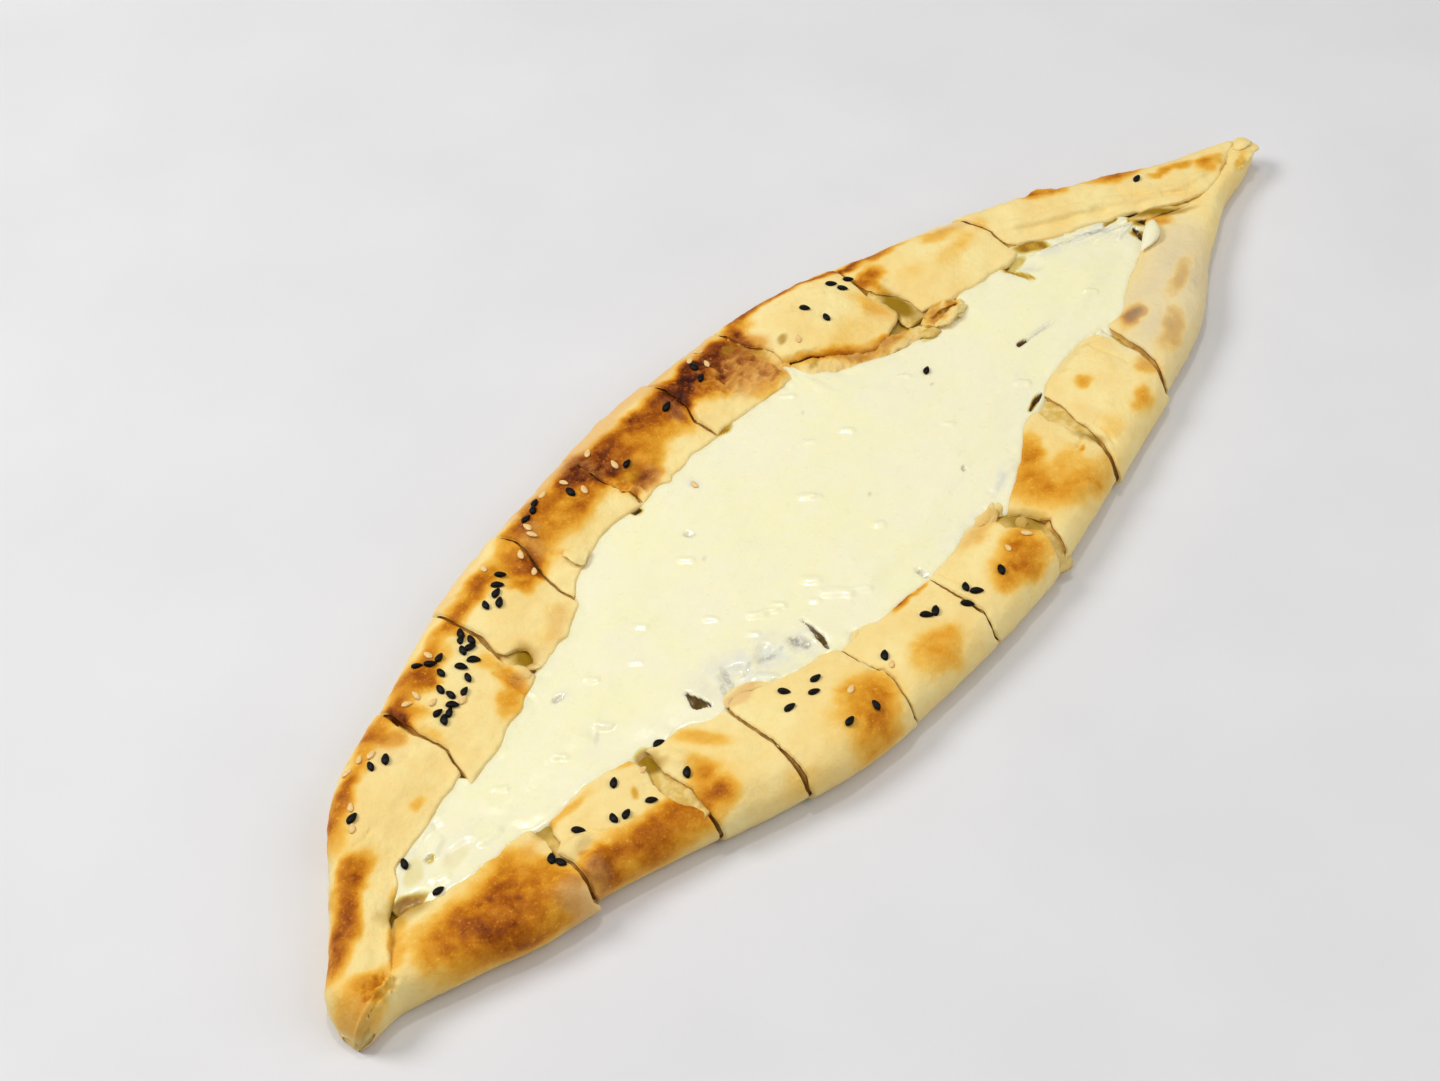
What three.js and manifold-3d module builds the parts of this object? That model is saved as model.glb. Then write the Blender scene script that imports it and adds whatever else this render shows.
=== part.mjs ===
// Long boat-shaped flatbread with its edges folded in over a soft white filling,
// cut across into nine slices that still lie in place.
// Millimetres, +Z up. X runs along the loaf from the blunt tip to the thin tip.
import * as THREE from 'three';
import Module from 'manifold-3d';

const wasm = await Module();
wasm.setup();

const HALF_LENGTH = 199;

// Plan outline: [x, y] along each long edge
const FAR_EDGE = [[-199, -8], [-194, -1.5], [-184, 6], [-171, 19], [-158, 31], [-142, 39.5],
  [-126, 44], [-100, 52], [-70, 59], [-40, 62], [-8, 64], [20, 62.5], [45, 60.5], [70, 53], [90, 44.5],
  [110, 36], [128, 27], [148, 14.5], [166, 2], [182, -6.5], [199, -14.5]];
const NEAR_EDGE = [[-199, -18.5], [-191, -16.5], [-180, -17], [-165, -22], [-150, -28.5], [-130, -34],
  [-108, -42.5], [-85, -52], [-60, -60], [-35, -63], [-8, -64.5], [20, -64], [45, -60.5], [70, -56],
  [100, -51], [120, -46.5], [142, -36], [158, -29], [172, -24], [186, -22], [199, -18.5]];

// Inner edges of the folded-in flaps
const FAR_LIP = [[-199, -12], [-184, -8], [-170, 0], [-160, 5], [-145, 9.5], [-125, 11.5], [-105, 15.5],
  [-85, 21.5], [-65, 31], [-40, 35.5], [-10, 35], [15, 34], [35, 26.5], [55, 17.5], [75, 11], [95, 11],
  [115, 9], [130, 3.5], [145, -5], [158, -13], [175, -17], [199, -17]];
const NEAR_LIP = [[-199, -13], [-184, -9], [-170, -2], [-156, -6], [-135, -8.5], [-110, -13.5],
  [-85, -19.5], [-62, -28.5], [-35, -37], [-5, -42], [15, -41.5], [35, -38], [55, -31], [75, -26],
  [100, -25.5], [122, -21.5], [136, -17], [148, -12.5], [158, -15], [175, -18], [199, -17.6]];

// Heights and thicknesses
const RIM_HEIGHT = [[-199, 10.5], [-185, 12], [-160, 12], [-110, 12.2], [-40, 13], [40, 13], [110, 12.2],
  [150, 11], [180, 9.5], [199, 8]];
const LIP_DROP = 1.6;        // lip of a flap lies this much lower than the rim
const BASE = 3.4;            // bottom sheet of dough
const FLAP_ROOT = 4.4;       // flap thickness by the fold
const FLAP_LIP = 2.4;        // flap thickness at its lip
const LIP_TUCK = 1.4;        // how far the underside of a lip is set back
const FLAP_SHARE = [1, 0.8, 0.4, 0, 0];  // share of the flap gap along the underside
const FOLD_WALL = 6.5;       // dough across the fold
const SEAM_HALF = 0.5;       // half the groove where the flaps meet at the tips
const TIP_ROUND = 5;         // length over which each tip rounds off
const CLEAR = 0.35;          // gap between dough and filling
const BULGE = 2.1;           // rise of the filling between the flaps
const CAVITY = [[-199, 0.05], [-176, 0.06], [-166, 0.35], [-154, 0.85], [-142, 1], [126, 1], [138, 0.9],
  [148, 0.55], [156, 0.12], [199, 0.05]];
const FILLING_ENDS = [-164, 148];

// Knife cuts: x on the centre line, slope dx/dy, kerf, flap gaps
const CUTS = [
  { x: -130, slope: 0.12, kerf: 1.0, far: 3, near: 3 },
  { x: -96, slope: 0.11, kerf: 1.0, far: 8, near: 6 },
  { x: -71, slope: 0.13, kerf: 1.0, far: 3, near: 2.5 },
  { x: -37, slope: 0.11, kerf: 1.2, far: 4, near: 2 },
  { x: -2, slope: 0.12, kerf: 1.0, far: 3, near: 2.5 },
  { x: 27, slope: 0.12, kerf: 1.0, far: 3.5, near: 8 },
  { x: 66, slope: 0.16, kerf: 1.2, far: 9, near: 7 },
  { x: 104, slope: 0.22, kerf: 1.4, far: 8, near: 3 },
];
// sideways jog of each slice's outer edges and its lift, outward positive
const SLICES = [
  { far: 1.2, near: 2.2, lift: 0.3 },
  { far: 0.6, near: -1.2, lift: -0.4 },
  { far: 0.9, near: 0.9, lift: 0.2 },
  { far: 0.3, near: 0.6, lift: 0.4 },
  { far: 0.8, near: -0.2, lift: -0.2 },
  { far: -1.4, near: 0.2, lift: 0.5 },
  { far: 1.8, near: -0.6, lift: 0.3 },
  { far: 0.2, near: 0.9, lift: -0.3 },
  { far: 0.2, near: -0.6, lift: 0 },
];
const STEPS = 8;             // steps along one slice
const TIP_STEPS = 13;        // steps along a slice that ends in a tip

// Seeds
const SEED = { length: 3.2, width: 1.9, height: 1.1, sink: 0.3, spacing: 3.0 };
// clusters: centre, spread along and across, dark seeds, pale seeds
const CLUSTERS = [
  { slice: 1, x: -139, y: 31, dx: 4, dy: 3, dark: 2, pale: 3 },
  { slice: 1, x: -155, y: 23, dx: 4, dy: 4, dark: 1, pale: 3 },
  { slice: 1, x: -157, y: 6, dx: 3, dy: 3, dark: 1, pale: 0 },
  { slice: 1, x: -138, y: -17, dx: 2, dy: 3, dark: 1, pale: 0 },
  { slice: 2, x: -106, y: 38, dx: 8, dy: 6, dark: 11, pale: 3 },
  { slice: 2, x: -116, y: 30, dx: 4, dy: 4, dark: 6, pale: 2 },
  { slice: 2, x: -115, y: -24, dx: 8, dy: 5, dark: 6, pale: 0 },
  { slice: 3, x: -80, y: 44, dx: 6, dy: 4, dark: 5, pale: 1 },
  { slice: 3, x: -89, y: -26, dx: 3, dy: 6, dark: 2, pale: 0 },
  { slice: 4, x: -52, y: 50, dx: 12, dy: 5, dark: 3, pale: 6 },
  { slice: 4, x: -59, y: -38, dx: 6, dy: 4, dark: 4, pale: 0 },
  { slice: 4, x: -57, y: -53, dx: 6, dy: 3, dark: 2, pale: 0 },
  { slice: 5, x: -26, y: 48, dx: 4, dy: 4, dark: 1, pale: 2 },
  { slice: 5, x: -18, y: -50, dx: 5, dy: 2, dark: 2, pale: 0 },
  { slice: 5, x: -10.5, y: -54, dx: 2.5, dy: 3, dark: 3, pale: 0 },
  { slice: 6, x: 12, y: 49, dx: 6, dy: 3, dark: 3, pale: 0 },
  { slice: 6, x: 6, y: -55, dx: 2, dy: 2, dark: 1, pale: 1 },
  { slice: 7, x: 61, y: 40, dx: 7, dy: 3, dark: 5, pale: 0 },
];

const FILLING_SEED = { x: 54, y: 2, turn: 0.8 };

const DOUGH_LOOK = { color: 0xe6c88a, roughness: 0.75, metalness: 0 };
const FILLING_LOOK = { color: 0xf6f0dc, roughness: 0.35, metalness: 0 };

// Seeded random and soft noise
function draw(seed) {
  let s = seed >>> 0;
  return () => {
    s = (Math.imul(s, 1664525) + 1013904223) >>> 0;
    return s / 4294967296;
  };
}
function hash(i, k) {
  const v = Math.sin(i * 127.1 + k * 311.7) * 43758.5453;
  return (v - Math.floor(v)) * 2 - 1;
}
function noise(t, k) {
  const i = Math.floor(t);
  const f = t - i;
  const w = f * f * (3 - 2 * f);
  return hash(i, k) * (1 - w) + hash(i + 1, k) * w;
}
const mix = (a, b, t) => a + (b - a) * t;
const clamp = (v, a, b) => Math.min(b, Math.max(a, v));
function ease(v) {
  const t = clamp(v, 0, 1);
  return t * t * (3 - 2 * t);
}

// smooth curve through a list of [x, value]
function curve(list) {
  const n = list.length;
  const slope = (i) => {
    const a = Math.max(0, i - 1);
    const b = Math.min(n - 1, i + 1);
    return (list[b][1] - list[a][1]) / (list[b][0] - list[a][0]);
  };
  return (x) => {
    if (x <= list[0][0]) return list[0][1];
    if (x >= list[n - 1][0]) return list[n - 1][1];
    let i = 0;
    while (x > list[i + 1][0]) i += 1;
    const h = list[i + 1][0] - list[i][0];
    const t = (x - list[i][0]) / h;
    const t2 = t * t;
    const t3 = t2 * t;
    const bend = (t3 - 2 * t2 + t) * slope(i) + (t3 - t2) * slope(i + 1);
    return (2 * t3 - 3 * t2 + 1) * list[i][1] + (3 * t2 - 2 * t3) * list[i + 1][1] + bend * h;
  };
}
const farEdge = curve(FAR_EDGE);
const nearEdge = curve(NEAR_EDGE);
const farLip = curve(FAR_LIP);
const nearLip = curve(NEAR_LIP);
const rim = curve(RIM_HEIGHT);
const cavity = curve(CAVITY);

// slope of the station line at x: cuts' own slope, none at the tips
function slopeAt(x) {
  const knots = [[-HALF_LENGTH, 0], ...CUTS.map((cut) => [cut.x, cut.slope]), [HALF_LENGTH, 0]];
  let i = 0;
  while (i < knots.length - 2 && x > knots[i + 1][0]) i += 1;
  const [from, to] = [knots[i], knots[i + 1]];
  return mix(from[1], to[1], clamp((x - from[0]) / (to[0] - from[0]), 0, 1));
}
// where the skewed station line meets an edge curve
function meet(f, x0, slope) {
  let y = f(x0);
  for (let k = 0; k < 4; k += 1) y = f(x0 + slope * y);
  return y;
}

// sizes of the loaf at one station
function station(x0) {
  const slope = slopeAt(x0);
  const far = meet(farEdge, x0, slope);
  const near = meet(nearEdge, x0, slope);
  const lipFar = meet(farLip, x0, slope);
  const lipNear = meet(nearLip, x0, slope);
  const seam = (lipFar + lipNear) / 2;
  const half = Math.max(SEAM_HALF, (lipFar - lipNear) / 2);
  const end = Math.min(HALF_LENGTH - Math.abs(x0) + 0.9, TIP_ROUND) / TIP_ROUND;
  const round = Math.sqrt(1 - (1 - end) * (1 - end));
  const h = rim(x0) * mix(0.5, 1, round);
  const width = mix(0.72, 1, round);
  return {
    x0,
    slope,
    far: seam + (far - seam) * width,
    near: seam + (near - seam) * width,
    lipFar: seam + half,
    lipNear: seam - half,
    seam,
    rim: h,
    c: cavity(x0),
    under: h - LIP_DROP - FLAP_LIP,
  };
}

// cavity outline of one side, from under the lip out to the fold and down to the base sheet
function cavitySide(s, edge, lip, gap) {
  const d = Math.sign(edge - lip);
  const g = gap / Math.max(s.c, 0.5);
  const wall = Math.min(FOLD_WALL, Math.abs(edge - lip) * 0.42);
  const root = s.rim - FLAP_ROOT;
  // the cavity shrinks towards the seam as it closes at the tips
  const at = (y, z) => [s.seam + (y - s.seam) * mix(s.c, 1, s.c), mix(s.rim - LIP_DROP, z, s.c)];
  return [
    [lip + d * LIP_TUCK * s.c, s.rim - LIP_DROP - FLAP_LIP * mix(0.35, 1, s.c) - g],
    at(mix(lip, edge - d * wall, 0.45), mix(s.under, root, 0.5) - g),
    at(edge - d * (wall + 4 + g), root - g),
    at(edge - d * (wall + g), mix(BASE, root, 0.5)),
    at(edge - d * (wall + 3.4 + g), BASE + g),
  ];
}

// outside of one side: lip, flap, fold and lower corner as [y, z, share of the flap gap]
function doughSide(s, edge, lip, side, lift) {
  const d = Math.sign(edge - lip);
  const width = Math.abs(edge - lip);
  const k = side === 'far' ? 0 : 40;
  const x0 = s.x0;
  const wobble = 0.9 * noise(x0 * 0.22 + k, 9) + 0.5 * noise(x0 * 0.6 + k, 10);
  const lipY = lip + d * clamp(wobble, -1.2, 1.6) * Math.min(1, s.c);
  const low = s.rim - LIP_DROP;
  const high = s.rim + lift;
  const wave = (y, m) => 0.55 * noise(x0 * 0.16 + m, 3) + 0.45 * noise(x0 * 0.31 + y * 0.2 + m, 5);
  return [
    [lipY, low - 0.5, 1],
    [lipY + d, low + 0.1 + lift * 0.4, 1],
    [mix(lipY, edge, 0.26), low + LIP_DROP * 0.38 + lift * 0.7 + wave(lip, k), 1],
    [mix(lipY, edge, 0.46), low + LIP_DROP * 0.75 + lift + wave(lip, k + 1), 0.8],
    [mix(lipY, edge, 0.66), high + 0.7 * wave(edge, k + 2), 0.5],
    [edge - d * Math.min(4.6, width * 0.2), high - 0.7, 0.2],
    [edge - d * Math.min(1.7, width * 0.09), high * 0.76, 0.05],
    [edge, high * 0.5, 0],
    [edge - d * Math.min(0.9, width * 0.06), high * 0.2, 0],
    [edge - d * Math.min(3.2, width * 0.2), 0, 0],
  ];
}

// one closed ring of the dough: far flap, both folds, near flap, and back along the cavity;
// part runs from 0 to 1 along the slice, and the flaps stop short of its ends
function doughRing(x0, slice, part, ends) {
  const s = station(x0);
  const jog = SLICES[slice];
  const yFar = s.far + jog.far * Math.min(1, (s.far - s.lipFar) / 20);
  const yNear = s.near - jog.near * Math.min(1, (s.lipNear - s.near) / 20);
  const ring = [];
  const put = (list, side) => {
    for (const [y, z, w] of list) {
      const first = ends.first[side] * w * (1 + 0.35 * noise(y * 0.21, slice * 7 + 1));
      const last = ends.last[side] * w * (1 + 0.35 * noise(y * 0.23, slice * 7 + 2));
      ring.push([s.x0 + s.slope * y + mix(first, -last, part), y, Math.max(0, z)]);
    }
  };
  const inner = (side) => {
    const [edge, lip] = side === 'far' ? [s.far, s.lipFar] : [s.near, s.lipNear];
    return cavitySide(s, edge, lip, 0).map(([y, z], k) => [y, z, FLAP_SHARE[k]]);
  };
  put(doughSide(s, yFar, s.lipFar, 'far', jog.lift), 'far');
  put(doughSide(s, yNear, s.lipNear, 'near', jog.lift).reverse(), 'near');
  put(inner('near'), 'near');
  put(inner('far').reverse(), 'far');
  return ring;
}

// one closed ring of the filling
function fillingRing(x0) {
  const s = station(x0);
  const near = cavitySide(s, s.near, s.lipNear, CLEAR);
  const far = cavitySide(s, s.far, s.lipFar, CLEAR);
  const width = s.lipFar - s.lipNear;
  const under = mix(near[0][1], far[0][1], 0.5);
  const rise = BULGE * ease((width / 2 - 2) / 16);
  const top = [0.07, 0.18, 0.32, 0.5, 0.68, 0.82, 0.93].map((t) => {
    const y = mix(s.lipNear, s.lipFar, t);
    const edge = Math.min(t, 1 - t) * width;
    const up = rise * ease((edge - 0.8) / 6) * (0.86 + 0.14 * ease(edge / 20));
    const soft = 0.6 * noise(x0 * 0.09 + y * 0.05, 21) + 0.4 * noise(x0 * 0.17 - y * 0.11, 22);
    return [y, under + up * (1 + 0.35 * soft)];
  });
  return [...near.reverse(), ...top, ...far].map(([y, z]) => [s.x0 + s.slope * y, y, z]);
}

// end face of a dough ring: strips from its outside to its cavity, joined by the base sheet
function zip(outside, inside, turn) {
  const faces = [];
  let i = 0;
  let j = 0;
  const tri = (a, b, c) => faces.push(turn > 0 ? [a, b, c] : [a, c, b]);
  while (i < outside.length - 1 || j < inside.length - 1) {
    if (i / (outside.length - 1) <= j / (inside.length - 1)) {
      tri(outside[i], inside[j], outside[i + 1]);
      i += 1;
    } else {
      tri(inside[j], inside[j + 1], outside[i]);
      j += 1;
    }
  }
  return faces;
}
function run(from, to) {
  const step = Math.sign(to - from);
  return Array.from({ length: Math.abs(to - from) + 1 }, (_, k) => from + step * k);
}
const DOUGH_CAP = [
  ...zip(run(0, 9), run(29, 25), 1),
  ...zip(run(19, 10), run(20, 24), -1),
  [10, 9, 25],
  [10, 25, 24],
];
const FILLING_CAP = [...run(0, 6).flatMap((k) => [[k, 16 - k, 15 - k], [k, 15 - k, k + 1]]), [7, 9, 8]];

// closed solid through rings of equal length
function loft(rings, cap) {
  const n = rings[0].length;
  const points = rings.flat();
  const faces = [];
  for (let i = 0; i + 1 < rings.length; i += 1) {
    for (let j = 0; j < n; j += 1) {
      const a = i * n + j;
      const b = i * n + ((j + 1) % n);
      const c = a + n;
      const d = b + n;
      faces.push([a, c, b], [b, c, d]);
    }
  }
  const last = (rings.length - 1) * n;
  for (const [a, b, c] of cap) faces.push([a, c, b], [a + last, b + last, c + last]);
  return solid(points, faces);
}
function solid(points, faces) {
  const vertProperties = Float32Array.from(points.flat());
  const triVerts = Uint32Array.from(faces.flat());
  return new wasm.Manifold(new wasm.Mesh({ numProp: 3, vertProperties, triVerts }));
}
function toGeometry(body) {
  const mesh = body.getMesh();
  const geometry = new THREE.BufferGeometry();
  const positions = [];
  for (let i = 0; i < mesh.numVert; i += 1) {
    const start = i * mesh.numProp;
    positions.push(...mesh.vertProperties.slice(start, start + 3));
  }
  geometry.setAttribute('position', new THREE.Float32BufferAttribute(positions, 3));
  geometry.setIndex(Array.from(mesh.triVerts));
  geometry.computeVertexNormals();
  return geometry;
}

// pointed seed lying flat: two end points and three rings of five
function seedBody(x, y, z, turn, size) {
  const sides = 5;
  const rings = [[-0.27, 0.72], [0.05, 1.0], [0.33, 0.66]];
  const points = [[-0.5 * SEED.length, 0, 0]];
  const faces = [];
  for (const [t, r] of rings) {
    for (let k = 0; k < sides; k += 1) {
      const a = (k / sides) * Math.PI * 2;
      const across = (r * SEED.width * Math.cos(a)) / 2;
      points.push([t * SEED.length, across, (r * SEED.height * Math.sin(a)) / 2]);
    }
  }
  points.push([0.5 * SEED.length, 0, 0]);
  const last = points.length - 1;
  for (let k = 0; k < sides; k += 1) {
    const m = (k + 1) % sides;
    faces.push([0, 1 + m, 1 + k]);
    for (let r = 0; r + 1 < rings.length; r += 1) {
      const a = 1 + r * sides + k;
      const b = 1 + r * sides + m;
      faces.push([a, b, a + sides], [b, b + sides, a + sides]);
    }
    const start = 1 + (rings.length - 1) * sides;
    faces.push([start + k, start + m, last]);
  }
  const c = Math.cos(turn) * size;
  const s = Math.sin(turn) * size;
  const place = ([px, py, pz]) => [x + px * c - py * s, y + px * s + py * c, z + pz * size];
  return solid(points.map(place), faces);
}

// height of a body's top under a point, from its triangles
function topAt(body, x, y) {
  const mesh = body.getMesh();
  const v = mesh.vertProperties;
  const t = mesh.triVerts;
  const n = mesh.numProp;
  let best = -1;
  for (let i = 0; i < t.length; i += 3) {
    const [a, b, c] = [t[i] * n, t[i + 1] * n, t[i + 2] * n];
    const [px, py] = [x - v[c], y - v[c + 1]];
    const [ax, ay] = [v[a] - v[c], v[a + 1] - v[c + 1]];
    const [bx, by] = [v[b] - v[c], v[b + 1] - v[c + 1]];
    const det = ax * by - bx * ay;
    if (Math.abs(det) < 1e-9) continue;
    const u = (px * by - bx * py) / det;
    const w = (ax * py - px * ay) / det;
    if (u < 0 || w < 0 || u + w > 1) continue;
    best = Math.max(best, u * v[a + 2] + w * v[b + 2] + (1 - u - w) * v[c + 2]);
  }
  return best;
}

// seeds of one slice, largest first, kept apart by a fixed spacing
function seedsOn(body, number) {
  const random = draw(9100 + number);
  const placed = [];
  const out = [];
  for (const group of CLUSTERS.filter((c) => c.slice === number)) {
    const count = group.dark + group.pale;
    for (let k = 0; k < count; k += 1) {
      const size = 1.06 - (0.16 * k) / Math.max(1, count - 1);
      for (let attempt = 0; attempt < 60; attempt += 1) {
        const a = random() * Math.PI * 2;
        const r = Math.sqrt(random()) * (1 + attempt * 0.02);
        const x = group.x + Math.cos(a) * r * group.dx;
        const y = group.y + Math.sin(a) * r * group.dy;
        const turn = random() * Math.PI;
        if (placed.some(([px, py]) => Math.hypot(px - x, py - y) < SEED.spacing)) continue;
        const z = topAt(body, x, y);
        const level = ([u, w]) => Math.abs(topAt(body, x + u, y + w) - z) < 0.9;
        const flat = [[2, 0], [-2, 0], [0, 2], [0, -2]].every(level);
        if (z < 7 || !flat) continue;
        placed.push([x, y]);
        out.push(seedBody(x, y, z + SEED.height * size * 0.5 - SEED.sink, turn, size));
        break;
      }
    }
  }
  return out;
}

// slits and holes where the filling has parted: centre, length, width, turn
const HOLES = [
  { x: -77, y: -19, length: 6.5, width: 3.6, turn: 0.3, depth: 3 },
  { x: -43, y: -30, length: 8.5, width: 1.5, turn: 1.35, depth: 2.6 },
  { x: 84, y: -14, length: 7, width: 1.4, turn: 0.2, depth: 2 },
  { x: 32, y: -38, length: 5, width: 2.4, turn: 0.9, depth: 2 },
  { x: -35, y: 33, length: 3, width: 1.8, turn: 0.6, depth: 2 },
];
function holeTool(hole, z) {
  const sides = 8;
  const points = [];
  const faces = [];
  const c = Math.cos(hole.turn);
  const s = Math.sin(hole.turn);
  for (const [r, h] of [[0.55, -hole.depth], [1, 2.5]]) {
    for (let k = 0; k < sides; k += 1) {
      const a = (k / sides) * Math.PI * 2;
      const px = (Math.cos(a) * r * hole.length) / 2;
      const py = (Math.sin(a) * r * hole.width) / 2;
      points.push([hole.x + px * c - py * s, hole.y + px * s + py * c, z + h]);
    }
  }
  for (let k = 0; k < sides; k += 1) {
    const m = (k + 1) % sides;
    faces.push([k, m, sides + k], [m, sides + m, sides + k]);
    if (k > 0 && k < sides - 1) faces.push([0, m, k], [sides, sides + k, sides + m]);
  }
  return solid(points, faces);
}

// ends of a slice on the centre line, and the flap gaps there
function sliceEnds(index) {
  const before = CUTS[index - 1];
  const after = CUTS[index];
  const gaps = (cut) => ({ far: cut ? cut.far / 2 : 0, near: cut ? cut.near / 2 : 0 });
  return {
    from: before ? before.x + before.kerf / 2 : -HALF_LENGTH,
    to: after ? after.x - after.kerf / 2 : HALF_LENGTH,
    first: gaps(before),
    last: gaps(after),
  };
}
// stations of a slice, closer together towards a tip
function stations(index) {
  const { from, to } = sliceEnds(index);
  const atTip = index === 0 || index === CUTS.length;
  const steps = atTip ? TIP_STEPS : STEPS;
  const crowd = (t) => t * (0.45 + 0.55 * t);
  return run(0, steps).map((k) => {
    const t = k / steps;
    if (index === 0) return mix(from, to, crowd(t));
    return mix(from, to, atTip ? 1 - crowd(1 - t) : t);
  });
}
function buildSlice(index) {
  const ends = sliceEnds(index);
  const part = (x) => (x - ends.from) / (ends.to - ends.from);
  return loft(stations(index).map((x) => doughRing(x, index, part(x), ends)), DOUGH_CAP);
}
function buildFilling() {
  const line = run(0, CUTS.length).flatMap(stations);
  const inside = line.filter((x) => x > FILLING_ENDS[0] && x < FILLING_ENDS[1]);
  const whole = loft(inside.map(fillingRing), FILLING_CAP);
  const tools = HOLES.map((hole) => holeTool(hole, topAt(whole, hole.x, hole.y)));
  const parted = wasm.Manifold.difference([whole, ...tools]);
  const { x, y, turn } = FILLING_SEED;
  const seed = seedBody(x, y, topAt(whole, x, y) + SEED.height / 2 - SEED.sink, turn, 1);
  return wasm.Manifold.union([parted, seed]);
}

const manakish = new THREE.Group();
function add(name, body, look) {
  const mesh = new THREE.Mesh(toGeometry(body), new THREE.MeshStandardMaterial(look));
  mesh.name = name;
  manakish.add(mesh);
}
for (let i = 0; i <= CUTS.length; i += 1) {
  const body = buildSlice(i);
  const seeds = seedsOn(body, i + 1);
  add(`bread_slice_${i + 1}`, wasm.Manifold.union([body, ...seeds]), DOUGH_LOOK);
}
add('filling', buildFilling(), FILLING_LOOK);

export default manakish;
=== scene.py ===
import math
import bpy
import numpy as np
from mathutils import Matrix, Vector
from mathutils.bvhtree import BVHTree


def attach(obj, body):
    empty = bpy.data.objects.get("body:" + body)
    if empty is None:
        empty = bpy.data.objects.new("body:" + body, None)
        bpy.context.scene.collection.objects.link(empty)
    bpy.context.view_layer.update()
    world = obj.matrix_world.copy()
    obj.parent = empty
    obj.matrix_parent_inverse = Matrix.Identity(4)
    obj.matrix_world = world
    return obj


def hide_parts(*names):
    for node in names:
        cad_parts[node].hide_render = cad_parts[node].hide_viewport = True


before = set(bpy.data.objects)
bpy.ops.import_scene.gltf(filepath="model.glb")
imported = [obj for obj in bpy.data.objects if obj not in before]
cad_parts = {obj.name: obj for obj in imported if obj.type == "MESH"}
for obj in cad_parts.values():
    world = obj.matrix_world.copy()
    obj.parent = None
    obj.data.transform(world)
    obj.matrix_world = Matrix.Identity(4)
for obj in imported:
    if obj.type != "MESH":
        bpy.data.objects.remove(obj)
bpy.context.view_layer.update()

# A long flatbread, folded in over labneh and cut across into nine slices. Sizes are in mm: X runs
# from the blunt near tip to the thin far tip, +Y is the side far from the camera, Z is up.
MM = 0.001

# Camera of the photograph, mm and degrees
PHOTO_WIDTH = 1440       # pixels
FOCAL_PIXELS = 2820.0
CAMERA_PLACE = (-419.3, -296.6, 554.0)
CAMERA_HEADING = 38.25   # of the view, from +X towards +Y
CAMERA_PITCH = 47.6      # below the horizon
CAMERA_ROLL = 1.25
SENSOR = 36.0

# Soft studio light, metres and watts: name, place, size, power
LIGHTS = [("key", (-0.45, 0.8, 1.0), 0.6, 9.7), ("fill", (0.4, -0.9, 0.9), 1.0, 4.6),
          ("top", (0, 0, 1.6), 1.4, 3.4), ("glint", (0.15, 0.2, 1.5), 0.12, 2.9)]
WORLD_LIGHT = 0.27
FLOOR_SIDE = 8.0         # metres
FLOOR_GAP = 0.0002       # between the bread and the floor

# Plan outline, rising along X
HALF_LENGTH = 199.0
NEAR_TIP, FAR_TIP = -197.2, 195.6   # where the baked skin itself ends
FAR_EDGE = [
    (-199, -8.6), (-197, -5.8), (-194, -1.5), (-184, 6), (-171, 19), (-158, 31), (-142, 39.5), (-126, 44),
    (-100, 52), (-70, 59), (-40, 62), (-8, 64), (20, 62.5), (45, 60.5), (70, 53), (90, 44.5), (110, 35.5),
    (128, 24.8), (148, 12), (166, 1), (182, -6.8), (193, -11.8), (199, -14.5),
]
NEAR_EDGE = [
    (-199, -12.4), (-196.6, -13.8), (-194, -14.4), (-190, -14.4), (-184.6, -14.8), (-180, -16.4),
    (-165, -22), (-150, -28.5), (-130, -34), (-108, -42.5), (-85, -52), (-60, -60), (-35, -63), (-8, -64.5),
    (20, -64), (45, -60.5), (70, -56), (100, -51), (120, -46.5), (142, -36), (158, -29), (172, -24),
    (186, -22), (199, -18.5),
]
# Middle lines of the folded-in flaps' inner edges
FAR_LIP = [
    (-199, -12), (-184, -8), (-170, 0), (-160, 5), (-145, 9.5), (-125, 11.5), (-105, 15.5), (-85, 21.5),
    (-65, 31), (-40, 35.5), (-10, 35), (15, 34), (35, 26.5), (55, 17.5), (75, 11), (95, 11), (115, 9),
    (130, 3.5), (145, -5), (158, -13), (175, -17), (199, -17),
]
NEAR_LIP = [
    (-199, -13), (-184, -9), (-170, -2), (-156, -6), (-135, -8.5), (-110, -13.5), (-85, -19.5), (-62, -28.5),
    (-35, -37), (-5, -42), (15, -41.5), (35, -38), (55, -31), (75, -26), (100, -25.5), (122, -21.5),
    (136, -17), (148, -12.5), (158, -15), (175, -18), (199, -17.6),
]
RIM_HEIGHT = [
    (-199, 10.5), (-185, 12), (-160, 12), (-110, 12.2), (-40, 13), (40, 13), (110, 12.2), (150, 11),
    (180, 9.5), (199, 8),
]
# Share of the full cavity, and how far the mouth is closed, far flap over near flap
CAVITY = [
    (-199, 0.05), (-176, 0.06), (-166, 0.35), (-154, 0.85), (-142, 1), (126, 1), (138, 0.9), (148, 0.55),
    (156, 0.12), (199, 0.05),
]
CLOSED = [(-199, 1), (-172, 1), (-167, 0), (146, 0), (151, 1), (199, 1)]

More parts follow.
